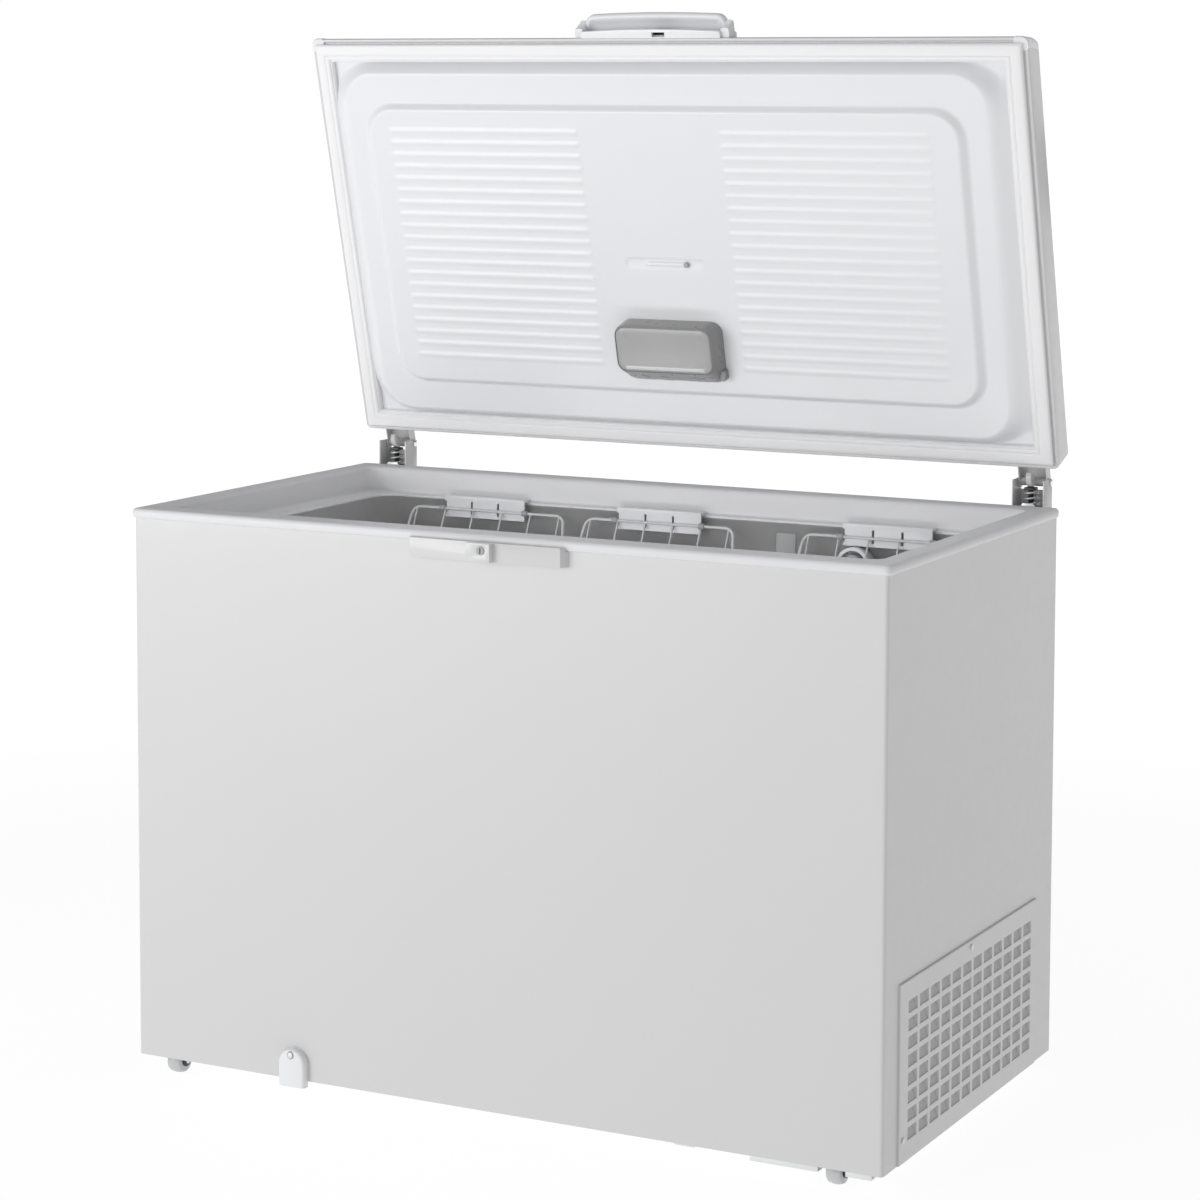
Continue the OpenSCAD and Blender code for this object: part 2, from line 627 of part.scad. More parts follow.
// Coil spring around the plunger between the guide shelf and the plunger's head
module hinge_spring(side) color(steel) stand() at_hinge(side) translate([0, plunger_y, guide_z]) {
  sides = 8;
  steps = 14 * spring_turns;
  free = plunger_top - 4 - guide_z - spring_wire - 0.4;
  rings = [for (i = [0:steps], k = [0:sides - 1]) let (
    a = i * 360 / 14, b = k * 360 / sides, r = spring_r + spring_wire / 2 * cos(b))
    [r * cos(a), r * sin(a), 0.2 + spring_wire / 2 + free * i / steps + spring_wire / 2 * sin(b)]];
  walls = [for (i = [0:steps - 1], k = [0:sides - 1]) let (n = (k + 1) % sides)
    [i * sides + k, (i + 1) * sides + k, (i + 1) * sides + n, i * sides + n]];
  polyhedron(rings, concat([[for (k = [0:sides - 1]) k]], walls,
    [[for (k = [sides - 1:-1:0]) steps * sides + k]]));
}

module hinge_spring_left() hinge_spring(-1);
module hinge_spring_right() hinge_spring(1);

// ---- Baskets ----

// Wire basket drawn as a thin-walled tray whose walls and floor are pierced by rows of windows
module basket(i) color([0.93, 0.93, 0.93]) stand() {
  x0 = baskets[i][0] + 12;
  x1 = baskets[i][1] - 12;
  z0 = basket_top - basket_h;
  cols = 5;
  rows = 9;
  levels = 3;
  step_x = (x1 - x0 - basket_t) / cols;
  step_y = (basket_y[1] - basket_y[0] - basket_t) / rows;
  step_z = (basket_h - basket_t) / levels;
  difference() {
    box(x0, x1, basket_y[0], basket_y[1], z0, basket_top + 1);
    box(x0 + basket_t, x1 - basket_t, basket_y[0] + basket_t, basket_y[1] - basket_t, z0 + basket_t, 900);
    for (a = [0:cols - 1]) translate([x0 + basket_t + a * step_x, 0, 0]) {
      for (c = [0:levels - 1]) translate([0, basket_y[0] - 5, z0 + basket_t + c * step_z])
        cube([step_x - basket_t, 600, step_z - basket_t]);
      for (b = [0:rows - 1]) translate([0, basket_y[0] + basket_t + b * step_y, z0 - 1])
        cube([step_x - basket_t, step_y - basket_t, 8]);
    }
    for (b = [0:rows - 1], c = [0:levels - 1])
      translate([x0 - 5, basket_y[0] + basket_t + b * step_y, z0 + basket_t + c * step_z])
        cube([x1 - x0 + 10, step_y - basket_t, step_z - basket_t]);
  }
  difference() {
    rbox(baskets[i][0], baskets[i][1], frame_y[0], frame_y[1], basket_top, basket_top + basket_t, 20);
    box(x0 + basket_t, x1 - basket_t, basket_y[0] + basket_t, basket_y[1] - basket_t, 700, 800);
  }
}

module basket_left() basket(0);
module basket_middle() basket(1);
module basket_right() basket(2);

// Moulded grips that hook a basket's front and back over the collar's ledge
module basket_grips(i) color(white) stand() {
  x0 = grip_mid[i] - grip_w / 2;
  for (end = [0, 1]) {
    y = end == 0 ? frame_y[0] - 9 : frame_y[1];
    hook = end == 0 ? [mouth[1] + 2, y + 9] : [y, mouth[2] - 2];
    difference() {
      union() {
        box(x0, x0 + grip_w, y + (end == 0 ? 5.5 : 0), y + (end == 0 ? 9 : 3.5), grip_z[0], skirt_z + 4);
        box(x0, x0 + grip_w, hook[0], hook[1], skirt_z, skirt_z + 4);
      }
      for (k = [0:2]) box(x0 + k * 47, x0 + k * 47 + 3.5, y - 1, y + 11, grip_z[0] + 5, grip_z[1]);
    }
  }
}

module basket_grips_left() basket_grips(0);
module basket_grips_middle() basket_grips(1);
module basket_grips_right() basket_grips(2);

// ---- Lid ----

module lid_block(inset, z0, z1, r) rbox(-lid_half_w + inset, lid_half_w - inset,
  lid_y[0] + inset, lid_y[1] - inset, z0, z1, r);

module step_block(step, inset, z, top) rbox(-step[0] + inset, step[0] - inset, step[1] + inset,
  step[2] - inset, z + inset, top, step[3] - inset);

module plateaus(inset, top) {
  step_block(step_1, inset, plateau_z, top);
  step_block(step_2, inset, plateau_z2, top);
}

module ribs(grow) for (i = [0:rib_count - 1], x = ribs_x)
  rod_x(x[0] - grow, x[1] + grow, rib_y + i * rib_pitch, plateau_z2 + 2, 2 * (rib_r + grow / 2));

// What the leaning front and sides leave out of a block of the lid
module lean_cut(inset) {
  translate([0, lid_y[0] + inset, lean_z]) rotate([-lid_lean[0], 0, 0]) box(-700, 700, -60, 0, 0, 90);
  for (s = [-1, 1]) translate([s * (lid_half_w - inset), 0, lean_z]) rotate([0, -s * lid_lean[1], 0])
    box(min(0, 60 * s), max(0, 60 * s), -50, 700, 0, 90);
}

module lid_form(inset, z0, z1) difference() {
  lid_block(inset, z0, z1, lid_corner_r - inset);
  lean_cut(inset);
}

module lid_skin() color(white) on_lid() difference() {
  lid_form(0, lid_z, lid_top);
  lid_form(1.2, lid_z - 1, lid_top - 1.2);
}

module lid_liner() color([0.96, 0.96, 0.96]) on_lid() difference() {
  union() {
    lid_block(1.3, flange_z, flange_z + liner_t, lid_corner_r - 1.3);
    plateaus(0, flange_z + 1);
    ribs(0);
  }
  plateaus(liner_t, flange_z + 10);
}

module lid_foam() color("wheat") on_lid() union() {
  lid_form(1.3, flange_z + liner_t, lid_top - 1.2);
  difference() {
    plateaus(liner_t, flange_z + liner_t + 1);
    ribs(0.1);
  }
}

module gasket_block(inset, z0, z1, r) rbox(-gasket[0] + inset, gasket[0] - inset,
  gasket[1] + inset, gasket[2] - inset, z0, z1, r);

module lid_gasket() color([0.9, 0.9, 0.9]) on_lid() difference() {
  gasket_block(0, lid_z - lid_gap + gap, flange_z, 10);
  gasket_block(gasket_w, lid_z - 20, flange_z + 1, 8);
  difference() {
    gasket_block(6, lid_z - 20, lid_z - 4, 8);
    gasket_block(12, lid_z - 30, lid_z, 8);
  }
}

// Grip blade in plan, from its wide root on the lid to its slightly arched front edge
function blade(reach, front_w, root_w) = concat([[-root_w, 0]],
  [for (a = [180:15:255]) [-front_w + 14 + 14 * cos(a), -reach + 16 + 14 * sin(a)]],
  [for (k = [-3:3]) [k / 3 * (front_w - 16), -reach + 2 * pow(k / 3, 2)]],
  [for (a = [285:15:360]) [front_w - 14 + 14 * cos(a), -reach + 16 + 14 * sin(a)]], [[root_w, 0]]);

module lid_handle() color([0.93, 0.93, 0.93]) on_lid() difference() {
  translate([0, lid_y[0], 0]) {
    difference() {
      translate([0, 0, handle_z[0]]) linear_extrude(handle_z[1] - handle_z[0])
        polygon(concat(blade(handle_reach - 1, 106, 128), [[128, 14], [-128, 14]]));
      translate([0, 0, handle_z[0] - 1]) linear_extrude(handle_z[1] - handle_z[0] - 4)
        polygon([[-100, -4], [-94, -handle_reach + 8], [94, -handle_reach + 8], [100, -4]]);
    }
    for (s = [-1, 1]) translate([s * 121, 0, 0]) box(-6, 6, -12, 8, lean_z, handle_z[0]);
  }
  lid_form(0, lid_z, lid_top);
}

module lid_handle_shelf() color(white) on_lid() difference() {
  union() {
    rbox(-115, 115, shelf_y, lid_y[0], lid_z, lid_z + 6, 3);
    box(-112, 112, lid_y[0] - 3, lid_y[0] + 8, lid_z + 5, handle_z[0]);
  }
  lid_form(0, lid_z, lid_top);
  box(3.5, 24.5, tongue_y[0] - 2, tongue_y[1] + 2, lid_z - 1, lid_z + 8);
}

module lamp_cover() color([0.6, 0.6, 0.6, 0.7]) on_lid() difference() {
  rbox(-lamp[0], lamp[0], lamp[1], lamp[2], plateau_z2 - lamp_deep, plateau_z2, lamp[3]);
  rbox(-lamp[0] + 2, lamp[0] - 2, lamp[1] + 2, lamp[2] - 2, plateau_z2 - lamp_deep + 2, plateau_z2 + 1,
    lamp[3] - 2);
}

module lamp_base() color(white) on_lid() difference() {
  union() {
    rbox(-75, 75, lamp[1] + 8, lamp[2] - 8, plateau_z2 - 3, plateau_z2, 10);
    box(bulb[0] - 8, bulb[0] + 16, bulb[1] - 14, bulb[1] + 14, plateau_z2 - 28, plateau_z2 - 2);
  }
  rod_x(bulb[0], bulb[0] + 22, bulb[1], plateau_z2 - bulb[2], 14);
}

module lamp_bulb() color([1, 1, 0.92]) on_lid()
  translate([bulb[0], bulb[1], plateau_z2 - bulb[2]]) rotate([0, 90, 0]) {
  cylinder(d = 13.8, h = 24);
  translate([0, 0, 23]) cylinder(d1 = 14, d2 = 24, h = 10);
  translate([0, 0, 33 - eps]) cylinder(d = 24, h = 30);
  translate([0, 0, 63 - eps]) sphere(d = 24);
}

module lid_screws() color(steel) on_lid() {
  for (x = [-66, 66]) translate([x, lamp[1] + 16, plateau_z2 - 6]) cylinder(d = 9, h = 3);
  for (side = [-1, 1], x = arm_screw_x) translate([side * hinge_x + x, lid_y[1], lid_top - 16])
    rotate([-90, 0, 0]) {
      cylinder(d = 4.9, h = 2);
      translate([0, 0, 2]) cylinder(d = 9, h = 2.5);
    }
}

cabinet_shell();
rear_panel();
base_panel();
inner_liner();
cabinet_foam();
rim_frame();
evaporator_coil();
condenser_coil();
compressor_tray();
compressor();
compressor_mounts();
relay_box();
filter_drier();
refrigerant_tubes();
thermostat();
cord_gland();
side_grille();
cover_screws();
lock_plate();
lock_cylinder();
lock_tongue();
drain_cover();
drain_tube();
drain_plug();
probe_housing();
probe_tube();
liner_plate();
roller_brackets();
roller_axles();
roller_front_left();
roller_front_right();
roller_rear_left();
roller_rear_right();
hinge_base_left();
hinge_base_right();
hinge_screws();
hinge_pins();
hinge_arm_left();
hinge_arm_right();
hinge_plunger_left();
hinge_plunger_right();
hinge_spring_left();
hinge_spring_right();
basket_left();
basket_middle();
basket_right();
basket_grips_left();
basket_grips_middle();
basket_grips_right();
lid_skin();
lid_liner();
lid_foam();
lid_gasket();
lid_handle();
lid_handle_shelf();
lamp_cover();
lamp_base();
lamp_bulb();
lid_screws();
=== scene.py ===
"""Chest freezer with an open lid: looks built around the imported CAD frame.

Shapes are drawn in the cabinet's own millimetres: y = 0 is its front face and z = 0 its lower edge.
Matrix CAB takes them to the row frame, and LID does the same for a part drawn on the closed lid.
"""
import json
import math

import bmesh
import bpy
import numpy as np
from mathutils import Matrix, Vector


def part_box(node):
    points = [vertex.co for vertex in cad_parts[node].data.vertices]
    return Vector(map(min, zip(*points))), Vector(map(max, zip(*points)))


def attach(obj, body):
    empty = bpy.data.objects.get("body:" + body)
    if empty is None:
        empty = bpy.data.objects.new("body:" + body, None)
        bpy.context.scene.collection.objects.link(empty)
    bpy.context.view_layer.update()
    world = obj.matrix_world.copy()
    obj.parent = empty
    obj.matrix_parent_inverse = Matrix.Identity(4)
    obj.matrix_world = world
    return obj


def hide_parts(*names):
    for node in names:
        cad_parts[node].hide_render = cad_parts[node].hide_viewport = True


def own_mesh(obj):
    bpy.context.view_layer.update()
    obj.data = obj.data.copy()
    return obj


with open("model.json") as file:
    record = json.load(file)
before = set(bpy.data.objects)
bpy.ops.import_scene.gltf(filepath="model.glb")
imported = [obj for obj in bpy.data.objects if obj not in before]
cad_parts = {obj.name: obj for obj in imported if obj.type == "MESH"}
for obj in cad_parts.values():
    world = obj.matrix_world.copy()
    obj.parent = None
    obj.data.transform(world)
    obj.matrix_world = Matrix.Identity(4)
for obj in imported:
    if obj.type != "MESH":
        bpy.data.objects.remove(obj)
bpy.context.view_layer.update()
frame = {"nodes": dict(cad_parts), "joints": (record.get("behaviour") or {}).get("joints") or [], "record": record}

MM = 0.001
RECORD = frame["record"]
JOINTS = {j["name"]: j for j in frame["joints"]}
BODY = {n: b for b, ns in RECORD["behaviour"]["bodies"].items() for n in ns}
SLOT = {s["node"]: s["material_slot"] for s in RECORD["subparts"]}
SHELL_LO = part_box("cabinet_shell")[0]
CAB = Matrix.Translation((0, SHELL_LO.y, SHELL_LO.z)) @ Matrix.Scale(MM, 4)
PIVOT = Vector(JOINTS["lid_hinge"]["pos_m"])
LID_OPEN = math.radians(JOINTS["lid_hinge"]["range_deg"][1])
LID = (Matrix.Translation(PIVOT) @ Matrix.Rotation(-LID_OPEN, 4, "X")
       @ Matrix.Translation(-PIVOT) @ CAB)


# ---- Materials ----

def node(tree, kind, place, **values):
    made = tree.nodes.new(kind)
    made.location = place
    for key, value in values.items():
        if key in made.inputs:
            made.inputs[key].default_value = value
        else:
            setattr(made, key, value)
    return made


def map_range(tree, place, source, from_ends, to_ends):
    """Maps a socket from one range to another and returns the output."""
    made = node(tree, "ShaderNodeMapRange", place)
    for side, ends in (("From", from_ends), ("To", to_ends)):
        made.inputs[side + " Min"].default_value = ends[0]
        made.inputs[side + " Max"].default_value = ends[1]
    tree.links.new(source, made.inputs["Value"])
    return made.outputs[0]


def colour_mix(tree, place, blend_type="MIX"):
    """A colour mix node's factor, two colour inputs and output."""
    made = node(tree, "ShaderNodeMix", place, data_type="RGBA", blend_type=blend_type)
    ends = [s for s in made.inputs if s.type == "RGBA"]
    return made.inputs[0], *ends, next(s for s in made.outputs if s.type == "RGBA")


# cells per metre of the stucco, scale of the noise that scatters them, and painted shade on its relief: colour
# factor near the cells' centres and out at their edges
STUCCO_CELLS, STUCCO_SCATTER, STUCCO_PAINTED_SHADE = 134.19, 108.0, (1.0, 0.65)
SMUDGE_SCALE = 60.0


def material(name, colour, rough, metallic=0.0, tint=0.03, rough_var=0.06, grain=600.0,
             depth=0.00004, blotch=5.0, coat=0.0, transmission=0.0, stucco=False):
    """Procedural finish: slow colour drift, smudged roughness and a fine surface relief; a stucco finish also gets
    painted shade that follows its relief.
    """
    mat = bpy.data.materials.new(name)
    mat.use_nodes = True
    tree = mat.node_tree
    tree.nodes.clear()
    link = tree.links.new
    out = node(tree, "ShaderNodeOutputMaterial", (900, 0))
    shader = node(tree, "ShaderNodeBsdfPrincipled", (600, 0), Metallic=metallic, IOR=1.5)
    shader.inputs["Coat Weight"].default_value = coat
    shader.inputs["Coat Roughness"].default_value = 0.12
    shader.inputs["Transmission Weight"].default_value = transmission
    link(shader.outputs[0], out.inputs[0])
    where = node(tree, "ShaderNodeTexCoord", (-900, 0))
    spot = where.outputs["Object"]
    slow = node(tree, "ShaderNodeTexNoise", (-600, 300), Scale=blotch, Detail=4.0)
    link(spot, slow.inputs["Vector"])
    drift, dark, light, base = colour_mix(tree, (-300, 300))
    dark.default_value = (*(c * (1 - tint) for c in colour), 1)
    light.default_value = (*(min(1.0, c * (1 + tint)) for c in colour), 1)
    link(slow.outputs["Fac"], drift)
    smear = node(tree, "ShaderNodeTexNoise", (-600, 0), Scale=SMUDGE_SCALE, Detail=5.0,
                 Roughness=0.6)
    link(spot, smear.inputs["Vector"])
    smudged = map_range(tree, (-300, 0), smear.outputs["Fac"], (0.3, 0.7),
                        (max(0.02, rough - rough_var), min(1.0, rough + rough_var)))
    link(smudged, shader.inputs["Roughness"])
    if stucco:
        scatter = node(tree, "ShaderNodeTexNoise", (-800, -500), Scale=STUCCO_SCATTER, Detail=1.0)
        link(spot, scatter.inputs["Vector"])
        cells = node(tree, "ShaderNodeTexVoronoi", (-400, -500), Scale=STUCCO_CELLS,
                     feature="SMOOTH_F1")
        cells.inputs["Smoothness"].default_value = 0.6
        link(scatter.outputs["Color"], cells.inputs["Vector"])
        height = cells.outputs["Distance"]
        # painted shade: the colour darkens with the stucco's cell distance, the same field that drives its bump
        factor, first, second, shaded_base = colour_mix(tree, (200, 300), "MULTIPLY")
        factor.default_value = 1.0
        link(base, first)
        link(map_range(tree, (-100, -600), height, (0.3, 0.9), STUCCO_PAINTED_SHADE), second)
        base = shaded_base
    else:
        fine = node(tree, "ShaderNodeTexNoise", (-600, -300), Scale=grain, Detail=3.0)
        link(spot, fine.inputs["Vector"])
        height = fine.outputs["Fac"]
    link(base, shader.inputs["Base Color"])
    bump = node(tree, "ShaderNodeBump", (300, -300), Strength=1.0, Distance=depth)
    link(height, bump.inputs["Height"])
    link(bump.outputs[0], shader.inputs["Normal"])
    return mat


MATS = {
    "painted_steel": material("painted_steel", (0.60, 0.60, 0.605), 0.36, tint=0.012,
                              grain=900, depth=0.00002, blotch=3.0, coat=0.25),
    "white_plastic": material("white_plastic", (0.75, 0.755, 0.775), 0.34, tint=0.015, grain=1400,
                              depth=0.000012, coat=0.1),
    "satin_white_plastic": material("satin_white_plastic", (0.69, 0.692, 0.705), 0.45, tint=0.015,
                                    grain=2200, depth=0.000015),
    "liner_aluminium": material("liner_aluminium", (0.96, 0.96, 0.97), 0.34, 0.15, tint=0.02,
                                depth=0.003, stucco=True),
    "foam": material("foam", (0.78, 0.66, 0.4), 0.9, tint=0.12, grain=250, depth=0.0006,
                     blotch=20),
    "zinc_steel": material("zinc_steel", (0.72, 0.735, 0.735), 0.36, 0.35, tint=0.06,
                           rough_var=0.12, grain=500, depth=0.00003, blotch=40),
    "chrome": material("chrome", (0.82, 0.83, 0.84), 0.14, 1.0, grain=700, depth=0.00001),
    "black_steel": material("black_steel", (0.022, 0.022, 0.024), 0.4, tint=0.25, grain=700,
                            depth=0.00005, blotch=25),
    "black_plastic": material("black_plastic", (0.02, 0.02, 0.021), 0.5, tint=0.2, grain=900,
                              depth=0.00004),
    "grey_plastic": material("grey_plastic", (0.36, 0.365, 0.37), 0.45, tint=0.06, grain=1200,
                             depth=0.00003),
    "roller_plastic": material("roller_plastic", (0.55, 0.56, 0.57), 0.38, tint=0.08, grain=800,
                               depth=0.00003, transmission=0.12),
    "gasket_rubber": material("gasket_rubber", (0.80, 0.80, 0.81), 0.55, tint=0.02, grain=1500,
                              depth=0.00003),
    "black_rubber": material("black_rubber", (0.025, 0.025, 0.025), 0.75, tint=0.2, grain=900,
                             depth=0.00005),
    "copper": material("copper", (0.72, 0.36, 0.2), 0.3, 1.0, tint=0.12, rough_var=0.1,
                       grain=500, depth=0.00002, blotch=40),
    "coated_wire": material("coated_wire", (0.62, 0.625, 0.635), 0.33, grain=900,
                            depth=0.00003, blotch=30),
    "smoked_plastic": material("smoked_plastic", (0.37, 0.37, 0.372), 0.34, tint=0.08,
                               grain=1200, depth=0.00002, blotch=14.0, coat=0.2),
    "bulb_glass": material("bulb_glass", (0.9, 0.9, 0.88), 0.25, transmission=0.7,
                           grain=800, depth=0.00001),
    "spring_steel": material("spring_steel", (0.62, 0.63, 0.64), 0.4, 0.6, tint=0.12,
                             grain=700, depth=0.00002, blotch=60),
}
# painted shade and a painted highlight: the lamp's side walls get a darker copy of the smoked plastic, and the
# ridge on its face a lighter copy
SMOKE_PAINTED_SHADE = material("smoke_painted_shade", (0.25, 0.25, 0.252), 0.3, tint=0.08, grain=1200,
                      depth=0.00002, blotch=14.0, coat=0.2)
SMOKE_PAINTED_HIGHLIGHT = material("smoke_painted_highlight", (0.6, 0.6, 0.605), 0.3, tint=0.05, grain=1200,
                       depth=0.00002, blotch=14.0, coat=0.2)
for cad_name, cad_object in frame["nodes"].items():
    cad_object.data.materials.clear()
    cad_object.data.materials.append(MATS[SLOT[cad_name]])


# ---- Making pieces ----

def dress(mesh, name, slot, body, nodes=(), angle=35.0, mat=None):
    """Shades a finished mesh, gives it its finish and puts it on its body."""
    bm = bmesh.new()
    bm.from_mesh(mesh)
    bmesh.ops.recalc_face_normals(bm, faces=bm.faces)
    limit = math.radians(angle)
    for face in bm.faces:
        face.smooth = True
    for edge in bm.edges:
        if len(edge.link_faces) == 2:
            edge.smooth = edge.calc_face_angle(0.0) < limit
    bm.to_mesh(mesh)
    bm.free()
    mesh.materials.clear()
    mesh.materials.append(mat or MATS[slot])
    obj = bpy.data.objects.new(name, mesh)
    bpy.context.scene.collection.objects.link(obj)
    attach(obj, body)
    if nodes:
        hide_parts(*nodes)
    return obj


def piece(name, verts, faces, slot, body, nodes=(), place=CAB, **more):
    """A mesh in cabinet or closed-lid millimetres, as a finished piece."""
    mesh = bpy.data.meshes.new(name)
    mesh.from_pydata([tuple(v) for v in verts], [], faces)
    mesh.transform(place)
    return dress(mesh, name, slot, body, nodes, **more)


SAME_POINT, FLAT_JOINT, HARD_EDGE = 2e-6, math.radians(0.4), math.radians(30)


def refine(cad_name, bevel, mat=None):
    """A CAD node's own shape with its hard edges rounded by bevel millimetres."""
    bm = bmesh.new()
    bm.from_mesh(frame["nodes"][cad_name].data)
    bmesh.ops.remove_doubles(bm, verts=bm.verts, dist=SAME_POINT)
    bmesh.ops.dissolve_limit(bm, angle_limit=FLAT_JOINT, verts=bm.verts, edges=bm.edges)
    hard = [e for e in bm.edges if len(e.link_faces) == 2 and e.calc_face_angle(0.0) > HARD_EDGE]
    bmesh.ops.bevel(bm, geom=hard, offset=bevel * MM, offset_type="OFFSET", segments=2,
                    profile=0.5, affect="EDGES", clamp_overlap=True)
    mesh = bpy.data.meshes.new(cad_name + "_fine")
    bm.to_mesh(mesh)
    bm.free()
    return dress(mesh, cad_name + "_fine", SLOT[cad_name], BODY[cad_name], [cad_name], mat=mat)


def ring(x0, x1, y0, y1, z, r, n=8):
    """Points of a round-cornered rectangle, counter-clockwise from above."""
    points = []
    for cx, cy, start in ((x1 - r, y0 + r, -90), (x1 - r, y1 - r, 0),
                          (x0 + r, y1 - r, 90), (x0 + r, y0 + r, 180)):
        for k in range(n + 1):
            a = math.radians(start + 90 * k / n)
            points.append((cx + r * math.cos(a), cy + r * math.sin(a), z))
    return points


def loft(rings, closed=False, cap_start=False, cap_end=False):
    """Skin over rings of equal length; closed joins the last ring to the first."""
    n, count = len(rings[0]), len(rings)
    verts = [p for points in rings for p in points]
    faces = []
    for i in range(count if closed else count - 1):
        a, b = i * n, (i + 1) % count * n
        faces += [(a + k, a + (k + 1) % n, b + (k + 1) % n, b + k) for k in range(n)]
    if cap_start:
        faces.append(tuple(range(n))[::-1])
    if cap_end:
        faces.append(tuple(range((count - 1) * n, count * n)))
    return verts, faces


def join(*parts):
    """Several (verts, faces) as one."""
    verts, faces = [], []
    for part_verts, part_faces in parts:
        base = len(verts)
        verts += list(part_verts)
        faces += [tuple(base + i for i in f) for f in part_faces]
    return verts, faces


def lathe(profile, centre, axis="z", steps=32):
    """Turns (radius, height) pairs about an axis through centre; both ends are capped."""
    rings = []
    for r, h in profile:
        loop = []
        for k in range(steps):
            a = 2 * math.pi * k / steps
            u, v = r * math.cos(a), r * math.sin(a)
            p = {"z": (u, v, h), "y": (u, h, v), "x": (h, u, v)}[axis]
            loop.append(tuple(p[i] + centre[i] for i in range(3)))
        rings.append(loop)
    return loft(rings, cap_start=True, cap_end=True)


def fillet(points, radius, steps=5, cyclic=False):
    """Rounds the corners of a polyline."""
    pts = [Vector(p) for p in points]
    out = []
    for i, p in enumerate(pts):
        if not cyclic and i in (0, len(pts) - 1):
            out.append(p)
            continue
        a, b = pts[i - 1] - p, pts[(i + 1) % len(pts)] - p
        r = min(radius, a.length * 0.45, b.length * 0.45)
        start, end = p + a.normalized() * r, p + b.normalized() * r
        for k in range(steps + 1):
            t = k / steps
            out.append(start * (1 - t) ** 2 + p * 2 * t * (1 - t) + end * t * t)
    return out


def add_spline(curve, points, cyclic, radius=1.0):
    spline = curve.splines.new("POLY")
    spline.points.add(len(points) - 1)
    spline.use_cyclic_u = cyclic
    for target, p in zip(spline.points, points):
        target.co = (*p, 1)
        target.radius = radius


def curve_mesh(name, curve):
    """Turns a curve into a mesh and removes the object that carried it."""
    holder = bpy.data.objects.new(name + "_curve", curve)
    bpy.context.scene.collection.objects.link(holder)
    mesh = bpy.data.meshes.new_from_object(holder)
    mesh.name = name
    bpy.data.objects.remove(holder)
    return mesh


def wires(name, paths, slot, body, nodes=()):
    """Round wires: paths are (points, radius, cyclic)."""
    curve = bpy.data.curves.new(name, "CURVE")
    curve.dimensions = "3D"
    curve.bevel_depth = 1.0
    curve.bevel_resolution = 3
    curve.use_fill_caps = True
    for points, radius, cyclic in paths:
        add_spline(curve, points, cyclic, radius)
    mesh = curve_mesh(name, curve)
    mesh.transform(CAB)
    return dress(mesh, name, slot, body, nodes, angle=60)


def plate(name, outlines, low, high, edge, slot, body, nodes=(), place=CAB, turn=Matrix(), **more):
    """Flat plate with holes and rounded edges from outlines in its own plane."""
    curve = bpy.data.curves.new(name, "CURVE")
    curve.dimensions = "2D"
    curve.fill_mode = "BOTH"
    curve.extrude = (high - low) / 2 - edge
    curve.bevel_depth = edge
    curve.bevel_resolution = 2
    curve.offset = -edge
    for outline in outlines:
        add_spline(curve, [(x, y, 0) for x, y in outline], True)
    mesh = curve_mesh(name, curve)
    bm = bmesh.new()
    bm.from_mesh(mesh)
    bmesh.ops.remove_doubles(bm, verts=bm.verts, dist=1e-3)
    bm.to_mesh(mesh)
    bm.free()
    mesh.transform(place @ turn @ Matrix.Translation((0, 0, (low + high) / 2)))
    return dress(mesh, name, slot, body, nodes, **more)


# ---- Collar: rounded bead, sloping inner wall and the ledge that the baskets hang on ----

HALF_W, BODY_D = 590.0, 642.0
# half width, front and back of the mouth; the same and the corner radius of the tub
MOUTH = (558.0, 45.0, 600.0)
TUB = (525.0, 62.0, 592.0, 35.0)
# each profile is (how far it stands out, height)
BEAD = ((1.2, 795.0), (2.9, 795.7), (4.1, 797.6), (4.5, 800.2), (4.5, 803.0), (4.0, 805.6),
        (2.7, 807.7), (0.8, 808.8), (-1.5, 809.0))
MOUTH_WALL = ((6.0, 809.0), (3.6, 808.5), (1.7, 807.2), (0.5, 805.0), (0.0, 802.0),
              (-0.7, 774.5), (-1.3, 771.8), (-2.6, 770.4), (-4.6, 770.0))
LEDGE_EDGE = ((1.6, 770.0), (0.5, 769.5), (0.0, 768.2), (0.0, 766.0))


def make_rim():
    """Hollow collar: bead, inner wall, ledge edge and the hidden way back under them."""
    rings = [ring(-HALF_W - o, HALF_W + o, -o, BODY_D + o, z, 5.0 + max(o, -1.5)) for o, z in BEAD]
    half, front, back = MOUTH
    rings += [ring(-half - o, half + o, front - o, back + o, z, 17.0 + o) for o, z in MOUTH_WALL]
    half, front, back, radius = TUB
    rings += [ring(-half - o, half + o, front - o, back + o, z, radius + o) for o, z in LEDGE_EDGE]
    half, front, back = MOUTH
    hidden = 3.0
    rings += [ring(-half - hidden, half + hidden, front - hidden, back + hidden, z, 17.0 + hidden)
              for z in (LEDGE_EDGE[-1][1], BEAD[0][1])]
    verts, faces = loft(rings, closed=True)
    piece("rim_collar", verts, faces, "satin_white_plastic", "cabinet", ["rim_frame"], angle=50)


make_rim()


# ---- Lid ----

LID_HALF, LID_FRONT, LID_BACK = 591.0, -1.0, 646.0
LID_Z, FLANGE_Z = 819.5, 822.5
LID_CORNER = 9.0
LEAN_Z, FRONT_LEAN, SIDE_LEAN = 825.5, math.tan(math.radians(18)), math.tan(math.radians(4))
SKIN = ((5.6, 826.0), (5.6, 821.4), (5.0, 820.0), (4.0, 819.5), (1.8, 819.5), (0.6, 820.0),
        (0.0, 821.4), (0.0, 823.5), (0.1, 825.5), (0.0, 828.0), (0.0, 868.5), (0.7, 872.0),
        (2.6, 875.0), (5.6, 876.9), (9.5, 877.5))


